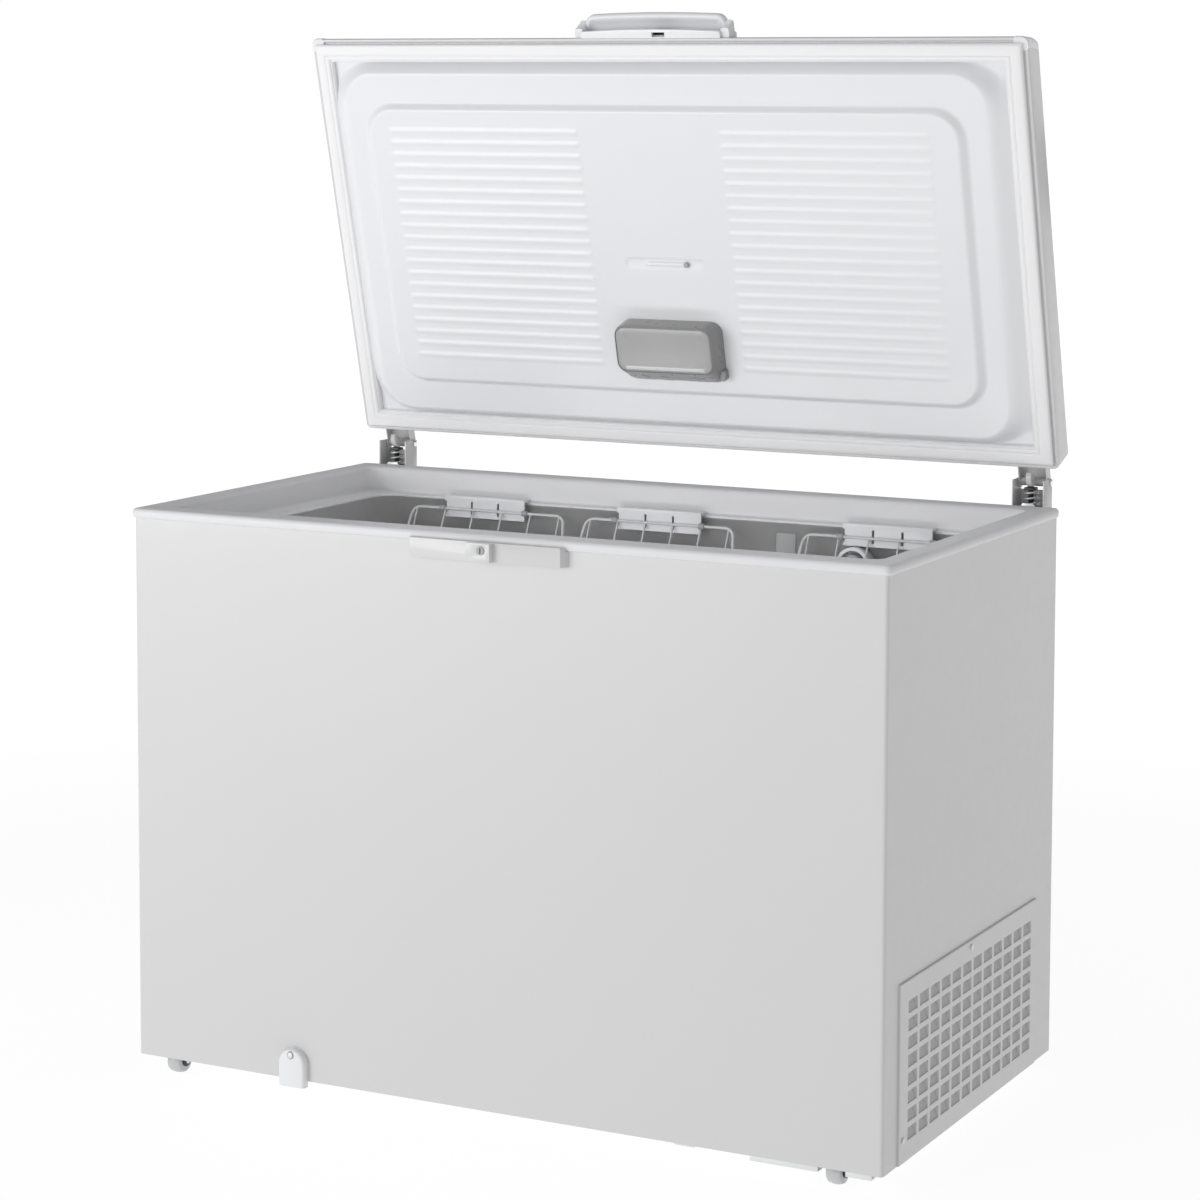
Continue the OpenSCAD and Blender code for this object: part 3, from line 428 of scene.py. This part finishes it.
def front_lean(z):
    """How far the leaning front face has moved back at height z."""
    return max(0.0, z - LEAN_Z) * FRONT_LEAN


def lid_ring(inset, z):
    side = inset + max(0.0, z - LEAN_Z) * SIDE_LEAN
    return ring(-LID_HALF + side, LID_HALF - side, LID_FRONT + front_lean(z) + inset,
                LID_BACK - inset, z, max(LID_CORNER - inset, 1.5))


def make_lid_skin():
    verts, faces = loft([lid_ring(o, z) for o, z in SKIN], cap_start=True, cap_end=True)
    piece("lid_shell", verts, faces, "painted_steel", "lid", ["lid_skin", "lid_foam"], LID)


def make_corner_caps():
    """Moulded corners that stand a little proud of the lid's front edge."""
    parts = []
    for side in (-1, 1):
        rings = []
        for grow, z in ((-2.0, 819.4), (0.2, 819.2), (1.0, 820.4), (1.2, 823.0), (1.2, 860.0),
                        (0.6, 864.0), (-1.5, 866.0)):
            x1 = LID_HALF + min(grow, 0.8) - max(0.0, z - LEAN_Z) * SIDE_LEAN
            y0 = LID_FRONT - grow + front_lean(z)
            r = LID_CORNER + grow
            loop = [(x1 - 19.0, y0)]
            loop += [(x1 - r + r * math.sin(a), y0 + r - r * math.cos(a))
                     for a in (math.pi / 2 * k / 8 for k in range(9))]
            loop += [(x1, y0 + 17.0), (x1 - 6.0, y0 + 17.0), (x1 - 10.0, y0 + 10.0),
                     (x1 - 19.0, y0 + 6.0)]
            rings.append([(side * x, y, z) for x, y in loop])
        parts.append(loft(rings, cap_start=True, cap_end=True))
    verts, faces = join(*parts)
    piece("lid_corner_caps", verts, faces, "white_plastic", "lid", (), LID, angle=40)


# half width, front, back and corner radius at a step's foot and at its top, then its height
STEPS = (((574.0, 33.0, 612.0, 84.0), (527.0, 49.0, 595.0, 48.0), 25.0),
         ((500.0, 94.0, 551.0, 52.0), (486.0, 104.0, 541.0, 42.0), 10.0))
RIBS_X = ((-456.0, -118.0), (111.0, 449.0))
RIB_Y, RIB_PITCH, RIB_COUNT = 136.0, 19.22, 20
RIB_HALF, RIB_HEIGHT, RIB_END = 7.0, 1.4, 9.0
# recess and the bar in it: left, right, front, back, depth or height
RECESS, RECESS_FADE = (-66.0, 66.0, 331.0, 352.0, 1.6), (3.0, 1.6, 16.0)
BAR, BAR_FADE = (-32.0, 36.0, 335.5, 343.5, 2.0), (2.5, 2.2, 2.2)


def inside(x, y, box):
    """Distance inside a round-cornered rectangle, positive within it."""
    half, front, back, r = box
    qx = np.abs(x) - (half - r)
    qy = np.abs(y - (front + back) / 2) - ((back - front) / 2 - r)
    return r - (np.hypot(np.maximum(qx, 0), np.maximum(qy, 0)) + np.minimum(np.maximum(qx, qy), 0))


def smooth(t):
    """Eases from 0 to 1."""
    t = np.clip(t, 0, 1)
    return t * t * (3 - 2 * t)


def liner_drop(x, y):
    """How far the lid liner stands out below its flange at a point of the closed lid."""
    drop = np.zeros_like(x)
    for outer, inner, height in STEPS:
        a, b = inside(x, y, outer), -inside(x, y, inner)
        t = np.clip(a, 0, None) / (np.clip(a, 0, None) + np.clip(b, 0, None) + 1e-9)
        drop += height * smooth(np.where(b <= 0, 1.0, t))
    phase = (y - RIB_Y + RIB_PITCH / 2) % RIB_PITCH - RIB_PITCH / 2
    in_rows = (y > RIB_Y - RIB_END) & (y < RIB_Y + RIB_PITCH * (RIB_COUNT - 1) + RIB_END)
    crest = np.cos(np.clip(np.abs(phase) / RIB_HALF, 0, 1) * math.pi / 2) ** 2 * in_rows
    for x0, x1 in RIBS_X:
        drop += RIB_HEIGHT * crest * smooth((x - x0) / RIB_END) * smooth((x1 - x) / RIB_END)
    for (x0, x1, y0, y1, size), (side, front, back), sign in (
            (RECESS, RECESS_FADE, -1), (BAR, BAR_FADE, 1)):
        across = smooth((x - x0) / side) * smooth((x1 - x) / side)
        drop += sign * size * across * smooth((y - y0) / front) * smooth((y1 - y) / back)
    return drop


def make_lid_liner():
    """Height field over the lid's inside, finest where its shape changes, closed at its back."""
    edge, margin, rows_across, thick = 585.0, 6.0, 360, 2.5
    # from, to, widest column
    spans = ((-edge, -545, 13), (-545, -440, 2.5), (-440, -128, 13), (-128, -106, 2.2),
             (-106, -70, 6), (-70, 70, 2.8), (70, 102, 6), (102, 124, 2.2), (124, 434, 13),
             (434, 545, 2.5), (545, edge, 13))
    xs = np.concatenate([np.linspace(a, b, math.ceil((b - a) / s), endpoint=False)
                         for a, b, s in spans] + [[edge]])
    ys = np.linspace(LID_FRONT + margin, LID_BACK - margin, rows_across)
    gx, gy = np.meshgrid(xs, ys)
    gz = FLANGE_Z - liner_drop(gx, gy)
    rows, cols = gx.shape
    verts = np.stack([gx.ravel(), gy.ravel(), gz.ravel()], 1)
    index = np.arange(rows * cols).reshape(rows, cols)
    quads = np.stack([index[:-1, :-1], index[1:, :-1], index[1:, 1:], index[:-1, 1:]], -1)
    faces = [tuple(int(i) for i in q) for q in quads.reshape(-1, 4)]
    border = ([int(i) for i in index[0, :]] + [int(i) for i in index[1:, -1]]
              + [int(i) for i in index[-1, -2::-1]] + [int(i) for i in index[-2:0:-1, 0]])
    base, n = len(verts), len(border)
    lifted = verts[border] + np.array([0, 0, thick])
    verts = np.vstack([verts, lifted])
    faces += [(border[k], border[(k + 1) % n], base + (k + 1) % n, base + k) for k in range(n)]
    faces.append(tuple(range(base, base + n)))
    piece("lid_liner_moulded", verts, faces, "white_plastic", "lid", ["lid_liner"], LID, angle=40)
    button = lathe(((0.2, 0.4), (3.6, 0.4), (4.2, -0.4), (4.2, -2.6), (3.4, -3.6), (0.2, -3.9)),
                   (37.0, 339.5, FLANGE_Z - 35.0))
    piece("lid_liner_button", *button, "grey_plastic", "lid", (), LID)


# (inset from the seal's outer edge, height)
GASKET = ((3.2, 822.4), (2.6, 818.6), (2.8, 814.5), (4.2, 812.4), (7.0, 811.4), (12.0, 810.6),
          (16.5, 810.4), (18.5, 811.0), (19.8, 812.2), (21.0, 811.0), (23.5, 810.8), (25.5, 811.6),
          (26.6, 813.4), (27.4, 814.8), (28.6, 814.2), (29.8, 815.4), (30.0, 819.0), (30.0, 822.4))


def make_gasket():
    """Hollow magnetic seal with lips on both sides of its bulb, mitred at the corners."""
    half, front, back = 586.0, 4.0, 641.0
    rings = [[(-half + o, front + o, z), (half - o, front + o, z), (half - o, back - o, z),
              (-half + o, back - o, z)] for o, z in GASKET]
    verts, faces = loft(rings, closed=True)
    piece("lid_seal", verts, faces, "gasket_rubber", "lid", ["lid_gasket"], LID, angle=42)


BLADE_REACH, BLADE_FRONT, BLADE_ROOT = 33.0, 117.0, 128.0


def blade(off, z):
    """Outline of the handle blade at height z, shrunk by off."""
    reach, front_w, root_w = BLADE_REACH - off, BLADE_FRONT - off, BLADE_ROOT - off * 0.8
    r, root = max(16.0 - off, 3.0), front_lean(z) + 1.0
    loop = [(-root_w, root), (-root_w, -1.0), (-root_w + 3.5, -3.5)]
    loop += [(-front_w + r + r * math.cos(a), -reach + r + 2 + r * math.sin(a))
             for a in (math.radians(180 + 75 * k / 8) for k in range(9))]
    loop += [(k / 6 * (front_w - r - 2), -reach + 2 * (k / 6) ** 2) for k in range(-6, 7)]
    loop += [(front_w - r + r * math.cos(a), -reach + r + 2 + r * math.sin(a))
             for a in (math.radians(285 + 75 * k / 8) for k in range(9))]
    loop += [(root_w - 3.5, -3.5), (root_w, -1.0), (root_w, root)]
    return [(x, LID_FRONT + y, z) for x, y in loop]


def make_handle():
    """Finger blade on two feet, the shelf under it and the pocket that takes the lock."""
    blade_rings = ((21.0, 846.6), (18.0, 846.4), (14.5, 845.2), (11.5, 843.3), (9.0, 841.4),
                   (7.0, 840.2), (5.0, 839.7), (3.4, 839.9), (1.6, 841.0), (0.4, 843.0),
                   (0.0, 845.8), (0.0, 848.8), (0.9, 852.2), (2.8, 854.5), (6.0, 855.5),
                   (12.0, 855.8))
    parts = [loft([blade(o, z) for o, z in blade_rings], cap_start=True, cap_end=True)]
    foot = ((0.0, 825.6, 3.0), (1.0, 832.0, 3.0), (4.0, 840.0, 4.0), (8.0, 846.0, 5.0))
    for x0, x1 in ((-127.6, -114.5), (114.5, 127.6)):
        parts.append(loft([ring(x0, x1, LID_FRONT - 14.0 - g, LID_FRONT + front_lean(z) + 1, z,
                                r, 4)
                           for g, z, r in foot], cap_start=True, cap_end=True))
    parts.append(loft([ring(-112, 112, LID_FRONT - 3, LID_FRONT + front_lean(z) + 1, z, 1, 2)
                       for z in (825.2, 847.0)], cap_start=True, cap_end=True))
    verts, faces = join(*parts)
    piece("handle_blade", verts, faces, "white_plastic", "lid", ["lid_handle"], LID, angle=50)
    front = [(k / 12 * 112.0, -14.5 + 3.2 * (k / 12) ** 2) for k in range(-12, 13)]
    outline = [(-115.0, -0.9), (-115.0, -9.2)] + front + [(115.0, -9.2), (115.0, -0.9)]
    slot = [(3.5, -3.0), (24.5, -3.0), (24.5, -10.0), (3.5, -10.0)]
    plate("handle_shelf", [outline, slot], LID_Z + 0.1, LID_Z + 5.9, 0.6, "white_plastic", "lid",
          ["lid_handle_shelf"], LID, angle=40)
    # the pocket and the sheet closing its back are black plastic: painted shade inside the slot of the shelf
    pocket = loft([ring(-2, 30, -12, -1, z, 2, 3) for z in (825.0, 836.0)]
                  + [ring(0, 28, -10.5, -2, z, 1, 3) for z in (836.0, 825.0)], closed=True)
    back = loft([ring(0.5, 27.5, -10.4, -2.2, z, 1, 3) for z in (835.2, 834.0)],
                cap_start=True, cap_end=True)
    verts, faces = join(pocket, back)
    piece("lock_pocket", verts, faces, "black_plastic", "lid", (), LID)


# ---- Lamp ----

LAMP_Z = 787.5
LAMP_HALF, LAMP_FRONT, LAMP_BACK = 85.0, 428.0, 524.0
# inset of the upper and left sides, inset of the lower side, depth below the liner
LAMP_WALL = ((0.0, 0.0, 0.0), (0.0, 0.0, 2.0), (0.1, 3.0, 7.0), (0.3, 8.0, 14.0),
             (0.6, 13.0, 21.0), (1.0, 17.0, 26.5), (1.6, 19.6, 30.2), (2.6, 21.0, 32.4),
             (3.6, 22.0, 33.0), (4.3, 22.8, 32.0), (4.9, 23.4, 31.0))
LAMP_LENS = ((4.6, 23.1, 30.5), (4.6, 23.1, 31.5), (5.2, 23.7, 31.9), (6.0, 24.4, 32.2),
             (12.0, 30.0, 33.0))
CLIPS, CLIP_DEPTH, CLIP_SLOPE = ((-46, 11), (-14, 10), (38, 18)), 20.0, 0.62


def lamp_ring(a, b, d):
    right = a + 0.13 * d
    return ring(-LAMP_HALF + a, LAMP_HALF - right, LAMP_FRONT + a, LAMP_BACK - b, LAMP_Z - d,
                max(18 - a * 0.8, 5), 6)


def make_lamp():
    """Walls with clips under their lower edge, a sunk face with a ridge, and screw heads."""
    parts = [loft([lamp_ring(*step) for step in LAMP_WALL], cap_start=True, cap_end=True)]
    ridge = [ring(-68 + e, 66 - e, 492 + e * 0.7, 498.5 - e * 0.7, LAMP_Z - 31.5 - h, 1.6, 4)
             for e, h in ((0.0, 0.0), (0.2, 1.4), (0.9, 2.4), (2.0, 2.8))]
    for x, width in CLIPS:
        rings = []
        for k in range(7):
            t = k / 6 * math.pi / 2
            depth = CLIP_DEPTH * math.sin(t)
            c = math.cos(t) * 0.98 + 0.02
            rings.append(ring(x - width * c, x + width * c, 503.0,
                              LAMP_BACK + 1.2 - CLIP_SLOPE * depth, LAMP_Z - depth,
                              1.6 * c + 0.1, 4))
        parts.append(loft(rings, cap_start=True, cap_end=True))
    parts.append(loft([ring(80, 87.6, 502, 518, LAMP_Z - d, 2, 3) for d in (0, 11, 13)],
                      cap_start=True, cap_end=True))
    verts, faces = join(*parts)
    # the walls take the darker copy of the smoked plastic: painted shade
    piece("lamp_wall", verts, faces, "smoked_plastic", "lid", ["lamp_cover"], LID, angle=45,
          mat=SMOKE_PAINTED_SHADE)
    lens = loft([lamp_ring(*step) for step in LAMP_LENS], cap_start=True, cap_end=True)
    piece("lamp_lens", *lens, "smoked_plastic", "lid", (), LID, angle=45)
    # the ridge takes the lighter copy of the smoked plastic: a painted highlight
    piece("lamp_ridge", *loft(ridge, cap_start=True, cap_end=True), "smoked_plastic", "lid", (),
          LID, mat=SMOKE_PAINTED_HIGHLIGHT)
    spots = [lathe(((0.3, -0.1), (2.6, -0.1), (3.3, 0.4), (3.3, 1.2), (0.3, 1.2)),
                   (x, 444.0, LAMP_Z - 33.5)) for x in (-66, 60)]
    piece("lamp_screw_heads", *join(*spots), "smoked_plastic", "lid", (), LID,
          mat=MATS["grey_plastic"])


make_lid_skin()
make_corner_caps()
make_lid_liner()
make_gasket()
make_handle()
make_lamp()


# ---- Baskets ----

# side, left end, right end, middle of the grips
BASKETS = (("left", -476.0, -175.0, -333.0), ("middle", -166.0, 116.0, -27.0),
           ("right", 202.0, 490.0, 350.0))
RING_Y = (68.0, 576.0)
WALL_Y = (78.0, 560.0)
TOP_Z, DROP_Z, LOW_Z = 754.0, 716.0, 564.0
THICK, MEDIUM, THIN = 2.3, 1.35 * 1.3, 1.35
WIRE_PITCH = 47.0


def make_basket(side, x0, x1, middle):
    """Welded wire basket, the dark ends of its grips and the grips themselves."""
    paths = []
    a, b = x0 + 13.0, x1 - 13.0
    for y_top, y_low in zip(RING_Y, WALL_Y):
        bridge = [(a - 3, y_low, DROP_Z - 4), (a + 3, y_top, TOP_Z), (b - 3, y_top, TOP_Z),
                  (b + 3, y_low, DROP_Z - 4)]
        paths.append((fillet(bridge, 15, 8), THICK, False))
    for z, r in ((DROP_Z, THICK), (640.0, MEDIUM), (LOW_Z, MEDIUM)):
        loop = [(a, WALL_Y[0], z), (b, WALL_Y[0], z), (b, WALL_Y[1], z), (a, WALL_Y[1], z)]
        paths.append((fillet(loop, 22, 6, True), r, True))
    count = round((b - a - 20) / WIRE_PITCH)
    for k in range(count + 1):
        x = a + 10 + (b - a - 20) * k / count
        run = [(x, RING_Y[0], TOP_Z), (x, WALL_Y[0] + 2, DROP_Z), (x, WALL_Y[0] + 2, LOW_Z),
               (x, WALL_Y[1] - 2, LOW_Z), (x, WALL_Y[1] - 2, DROP_Z), (x, RING_Y[1], TOP_Z)]
        paths.append((fillet(run, 10), THIN, False))
    count = round((WALL_Y[1] - WALL_Y[0]) / WIRE_PITCH)
    for k in range(1, count):
        y = WALL_Y[0] + (WALL_Y[1] - WALL_Y[0]) * k / count
        run = [(a + 2, y, DROP_Z), (a + 2, y, LOW_Z + 2.6), (b - 2, y, LOW_Z + 2.6),
               (b - 2, y, DROP_Z)]
        paths.append((fillet(run, 10), THIN, False))
    wires("basket_wires_" + side, paths, "coated_wire", side + "_basket", ["basket_" + side])
    clips = []
    for y in RING_Y:
        for s in (-1, 1):
            x = middle + s * 71.5
            clips.append(([(x - s * 2, y, TOP_Z), (x + s * 7, y, TOP_Z)], 4.6, False))
    wires("basket_clips_" + side, clips, "grey_plastic", side + "_basket")
    refine("basket_grips_" + side, 0.9)


for basket in BASKETS:
    make_basket(*basket)


# ---- Side grille: a plate of scooped louvres ----

def make_grille():
    x_out, x_in = 593.0, 590.0
    plate_y, plate_z = (50.0, 572.0), (0.0, 245.0)
    grid_y, grid_z, cols, rows = (75.0, 553.0), (24.0, 221.0), 12, 8
    step_y, step_z = (grid_y[1] - grid_y[0]) / cols, (grid_z[1] - grid_z[0]) / rows
    verts, faces = [], []

    def add(*points):
        verts.extend(points)
        return list(range(len(verts) - len(points), len(verts)))

    grid = [[add((x_out, grid_y[0] + i * step_y, grid_z[0] + j * step_z))[0]
             for i in range(cols + 1)] for j in range(rows + 1)]
    for j in range(rows):
        for i in range(cols):
            y0 = grid_y[0] + (i + 0.1) * step_y
            z0 = grid_z[0] + (j + 0.16) * step_z
            y1, z1 = y0 + 0.8 * step_y, z0 + 0.68 * step_z
            cell = [grid[j][i], grid[j][i + 1], grid[j + 1][i + 1], grid[j + 1][i]]
            loops = [cell]
            for inset, x in ((-0.7, x_out), (-0.2, x_out - 0.2), (0.0, x_out - 0.9)):
                loops.append(add((x, y0 + inset, z0 + inset), (x, y1 - inset, z0 + inset),
                                 (x, y1 - inset, z1 - inset), (x, y0 + inset, z1 - inset)))
            loops.append(add((x_out - 1.8, y0, z0), (x_out - 1.8, y1, z0),
                             (x_out - 11.0, y1, z1), (x_out - 11.0, y0, z1)))
            for near, far in zip(loops, loops[1:]):
                faces.extend((near[k], near[(k + 1) % 4], far[(k + 1) % 4], far[k])
                             for k in range(4))
            back = [add((x_out - 2.6, y, z0 + 1.4), (x_out - 4.8, y, z0 + 6.0),
                        (x_out - 8.8, y, z1 - 1.2)) for y in (y0, y1)]
            low_left, low_right, high_right, high_left = loops[-1]
            left, right = [low_left, *back[0], high_left], [low_right, *back[1], high_right]
            for k in range(4):
                faces.append((left[k], right[k], right[k + 1], left[k + 1]))
            faces.append(tuple(left[::-1]))
            faces.append(tuple(right))
    edges = []
    for inset, x in ((1.2, x_out), (0.4, x_out - 0.4), (0.0, x_out - 1.2), (0.0, x_in)):
        edges.append(add((x, plate_y[0] + inset, plate_z[0] + inset),
                         (x, plate_y[1] - inset, plate_z[0] + inset),
                         (x, plate_y[1] - inset, plate_z[1] - inset),
                         (x, plate_y[0] + inset, plate_z[1] - inset)))
    for near, far in zip(edges, edges[1:]):
        faces.extend((near[k], near[(k + 1) % 4], far[(k + 1) % 4], far[k]) for k in range(4))
    e = edges[0]
    faces.append((e[0], e[1], *[grid[0][i] for i in range(cols, -1, -1)]))
    faces.append((e[1], e[2], *[grid[j][cols] for j in range(rows, -1, -1)]))
    faces.append((e[2], e[3], *[grid[rows][i] for i in range(cols + 1)]))
    faces.append((e[3], e[0], *[grid[j][0] for j in range(rows + 1)]))
    piece("louvre_panel", verts, faces, "white_plastic", "cabinet", ["side_grille"], angle=25,
          mat=MATS["painted_steel"])


make_grille()


# ---- Drain cover, springs and the small fittings ----

def make_drain_cover():
    """Arched cap over the drain, with the seat of its screw."""
    cx, cz, r = -319.0, 25.0, 22.0
    rings = []
    for off, y in ((0.0, 0.0), (0.0, -6.8), (0.5, -8.8), (1.6, -10.6), (3.4, -11.7), (5.6, -12.0)):
        loop = [(cx + r - off, y, -8.0)]
        loop += [(cx + (r - off) * math.cos(a), y, cz + (r - off) * math.sin(a))
                 for a in (math.pi * k / 20 for k in range(21))]
        loop += [(cx - r + off, y, -8.0)]
        rings.append(loop)
    verts, faces = loft(rings, cap_end=True)
    piece("drain_cap", verts, faces, "white_plastic", "cabinet", ["drain_cover"], angle=40)
    seat = lathe(((0.3, -12.15), (5.6, -12.15), (6.2, -11.6), (6.2, -11.0), (0.3, -11.0)),
                 (cx, 0.0, 38.0), "y")
    piece("drain_screw_seat", *seat, "grey_plastic", "cabinet")


HINGES = (("left", -543.0), ("right", 543.0))
SPRING_Y, GUARD_Y = 662.0, 648.9


def make_springs():
    """Coils around the hinge plungers."""
    lo, hi = 770.2, 830.5
    wire, mean, turns, per_turn = 1.5, 9.4, 7, 28
    for side, x in HINGES:
        steps = turns * per_turn
        helix = []
        for k in range(steps + 1):
            a = 2 * math.pi * k / per_turn
            helix.append((x + mean * math.cos(a), SPRING_Y + mean * math.sin(a),
                          lo + wire + (hi - lo - 2 * wire) * k / steps))
        coil = wires("hinge_coil_" + side, [(helix, wire, False)], "spring_steel", "cabinet",
                     ["hinge_spring_" + side])
        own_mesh(coil)


def make_hinge_guards():
    """Plates that close the lower front of the two hinge channels."""
    for side, x in HINGES:
        outline = [(x - 11.0, 771.0), (x + 11.0, 771.0), (x + 11.0, 809.0), (x + 8.0, 812.0),
                   (x - 8.0, 812.0), (x - 11.0, 809.0)]
        plate("hinge_guard_" + side, [outline], -0.8, 0.8, 0.5, "zinc_steel", "cabinet",
              turn=Matrix.Translation((0, GUARD_Y, 0)) @ Matrix.Rotation(math.pi / 2, 4, "X"))


make_drain_cover()
make_springs()
make_hinge_guards()
refine("lock_plate", 1.2, mat=MATS["painted_steel"])
refine("lock_cylinder", 0.5, mat=MATS["grey_plastic"])
# CAD nodes that keep their own shape, and the bevel on their edges in millimetres
for cad_name, width in (
        ("lock_tongue", 0.3), ("liner_plate", 0.5),
        ("probe_housing", 1.3), ("probe_tube", 0.8), ("hinge_base_left", 0.5),
        ("hinge_base_right", 0.5), ("hinge_arm_left", 0.5), ("hinge_arm_right", 0.5),
        ("hinge_pins", 0.5), ("hinge_screws", 0.4), ("hinge_plunger_left", 0.4),
        ("hinge_plunger_right", 0.4), ("cover_screws", 0.4), ("lid_screws", 0.4),
        ("roller_brackets", 0.4), ("roller_axles", 0.4), ("roller_front_left", 0.8),
        ("roller_front_right", 0.8), ("roller_rear_left", 0.8), ("roller_rear_right", 0.8),
        ("compressor_tray", 0.3), ("drain_plug", 0.8), ("cord_gland", 0.6)):
    refine(cad_name, width)


# ---- Floor, light and camera ----

# the floor's glow near the object and far from it, and the distances between which it grows
FLOOR_REACH, FLOOR_GLOW = (1.6, 4.5), (0.91, 1.0)
FLOOR_COLOUR, FLOOR_HALF = 0.12, 60.0
SKY_MEAN, SKY_SWING = 0.37, 0.24
SKY_SIDE = (-0.25, -0.97, 0.0)
# name, place, where it points, size in metres, power in watts
LIGHTS = (("key_light", (-2.7, -4.2, 1.3), (0, 0, 0.7), (2.6, 2.2), 90.0),
          ("top_light", (0.3, -0.4, 4.6), (0, 0, 0.7), (3.5, 3.5), 16.0),
          ("back_light", (1.5, 4.5, 2.6), (0, 0, 0.7), (3.0, 2.5), 20.0),
          ("tub_light", (0.0, -0.22, 0.62), (0, 0.3, 1.0), (1.0, 0.15), 1.5))


def stage_material():
    """Pale matt floor that glows up to plain white away from the object."""
    mat = bpy.data.materials.new("studio_floor")
    mat.use_nodes = True
    tree = mat.node_tree
    shader = tree.nodes["Principled BSDF"]
    shader.inputs["Base Color"].default_value = (FLOOR_COLOUR, FLOOR_COLOUR, FLOOR_COLOUR, 1)
    shader.inputs["Roughness"].default_value = 0.9
    shader.inputs["Specular IOR Level"].default_value = 0.1
    shader.inputs["Emission Color"].default_value = (1, 1, 1, 1)
    where = node(tree, "ShaderNodeTexCoord", (-900, 0))
    far = node(tree, "ShaderNodeVectorMath", (-700, 100), operation="LENGTH")
    tree.links.new(where.outputs["Object"], far.inputs[0])
    glow = map_range(tree, (-500, 100), far.outputs["Value"], FLOOR_REACH, FLOOR_GLOW)
    glow.node.interpolation_type = "SMOOTHSTEP"
    tree.links.new(glow, shader.inputs["Emission Strength"])
    fleck = node(tree, "ShaderNodeTexNoise", (-400, -200), Scale=300.0, Detail=2.0)
    tree.links.new(where.outputs["Object"], fleck.inputs["Vector"])
    bump = node(tree, "ShaderNodeBump", (-200, -200), Strength=0.2, Distance=0.0002)
    tree.links.new(fleck.outputs["Fac"], bump.inputs["Height"])
    tree.links.new(bump.outputs[0], shader.inputs["Normal"])
    return mat


def make_world():
    """White backdrop; as a light it is brighter from the front left than from the right."""
    world = bpy.data.worlds.new("studio_world")
    bpy.context.scene.world = world
    world.use_nodes = True
    tree = world.node_tree
    tree.nodes.clear()
    where = node(tree, "ShaderNodeTexCoord", (-1100, 0))
    lean = node(tree, "ShaderNodeVectorMath", (-900, 0), operation="DOT_PRODUCT")
    lean.inputs[1].default_value = SKY_SIDE
    tree.links.new(where.outputs["Generated"], lean.inputs[0])
    level = map_range(tree, (-700, 0), lean.outputs["Value"], (-1.0, 1.0),
                      (SKY_MEAN - SKY_SWING, SKY_MEAN + SKY_SWING))
    fill = node(tree, "ShaderNodeBackground", (-300, 0))
    fill.inputs["Color"].default_value = (1, 1, 1, 1)
    tree.links.new(level, fill.inputs["Strength"])
    seen = node(tree, "ShaderNodeBackground", (-300, -200), Strength=1.0)
    seen.inputs["Color"].default_value = (1, 1, 1, 1)
    ray = node(tree, "ShaderNodeLightPath", (-600, 200))
    mix = node(tree, "ShaderNodeMixShader", (0, 0))
    out = node(tree, "ShaderNodeOutputWorld", (300, 0))
    tree.links.new(ray.outputs["Is Camera Ray"], mix.inputs[0])
    tree.links.new(fill.outputs[0], mix.inputs[1])
    tree.links.new(seen.outputs[0], mix.inputs[2])
    tree.links.new(mix.outputs[0], out.inputs[0])


def make_stage():
    """Floor and lamps."""
    mesh = bpy.data.meshes.new("studio_floor")
    corners = ((-1, -1), (1, -1), (1, 1), (-1, 1))
    mesh.from_pydata([(x * FLOOR_HALF, y * FLOOR_HALF, 0) for x, y in corners], [],
                     [(0, 1, 2, 3)])
    mesh.materials.append(stage_material())
    floor = bpy.data.objects.new("studio_floor", mesh)
    bpy.context.scene.collection.objects.link(floor)
    for name, place, target, size, power in LIGHTS:
        data = bpy.data.lights.new(name, "AREA")
        data.shape = "RECTANGLE"
        data.size, data.size_y = size
        data.energy = power
        lamp = bpy.data.objects.new(name, data)
        bpy.context.scene.collection.objects.link(lamp)
        lamp.location = place
        lamp.rotation_mode = "QUATERNION"
        lamp.rotation_quaternion = (Vector(target) - Vector(place)).to_track_quat("-Z", "Y")


# camera fitted to the cabinet's and the lid's corners: place in cabinet millimetres, yaw, pitch
# and roll in degrees, lens in millimetres
CAMERA_PLACE, CAMERA_TURN = (2183.82, -3886.14, 1433.38), (27.385, 4.920, 0.154)
CAMERA_LENS, CAMERA_SHIFT = 98.40, -0.20


def make_camera():
    yaw, pitch, roll = (math.radians(a) for a in CAMERA_TURN)
    forward = Vector((-math.sin(yaw) * math.cos(pitch), math.cos(yaw) * math.cos(pitch),
                      -math.sin(pitch)))
    right = Vector((math.cos(yaw), math.sin(yaw), 0))
    up = right.cross(forward)
    side = right * math.cos(roll) + up * math.sin(roll)
    top = -right * math.sin(roll) + up * math.cos(roll)
    data = bpy.data.cameras.new("photo_camera")
    data.sensor_width = 36.0
    data.lens = CAMERA_LENS
    data.shift_y = CAMERA_SHIFT
    data.clip_start, data.clip_end = 0.05, 200.0
    camera = bpy.data.objects.new("photo_camera", data)
    bpy.context.scene.collection.objects.link(camera)
    place = CAB @ Vector(CAMERA_PLACE)
    camera.matrix_world = Matrix((
        (side.x, top.x, -forward.x, place.x), (side.y, top.y, -forward.y, place.y),
        (side.z, top.z, -forward.z, place.z), (0, 0, 0, 1)))
    bpy.context.scene.camera = camera


make_world()
make_stage()
make_camera()
bpy.context.scene.view_settings.view_transform = "Standard"
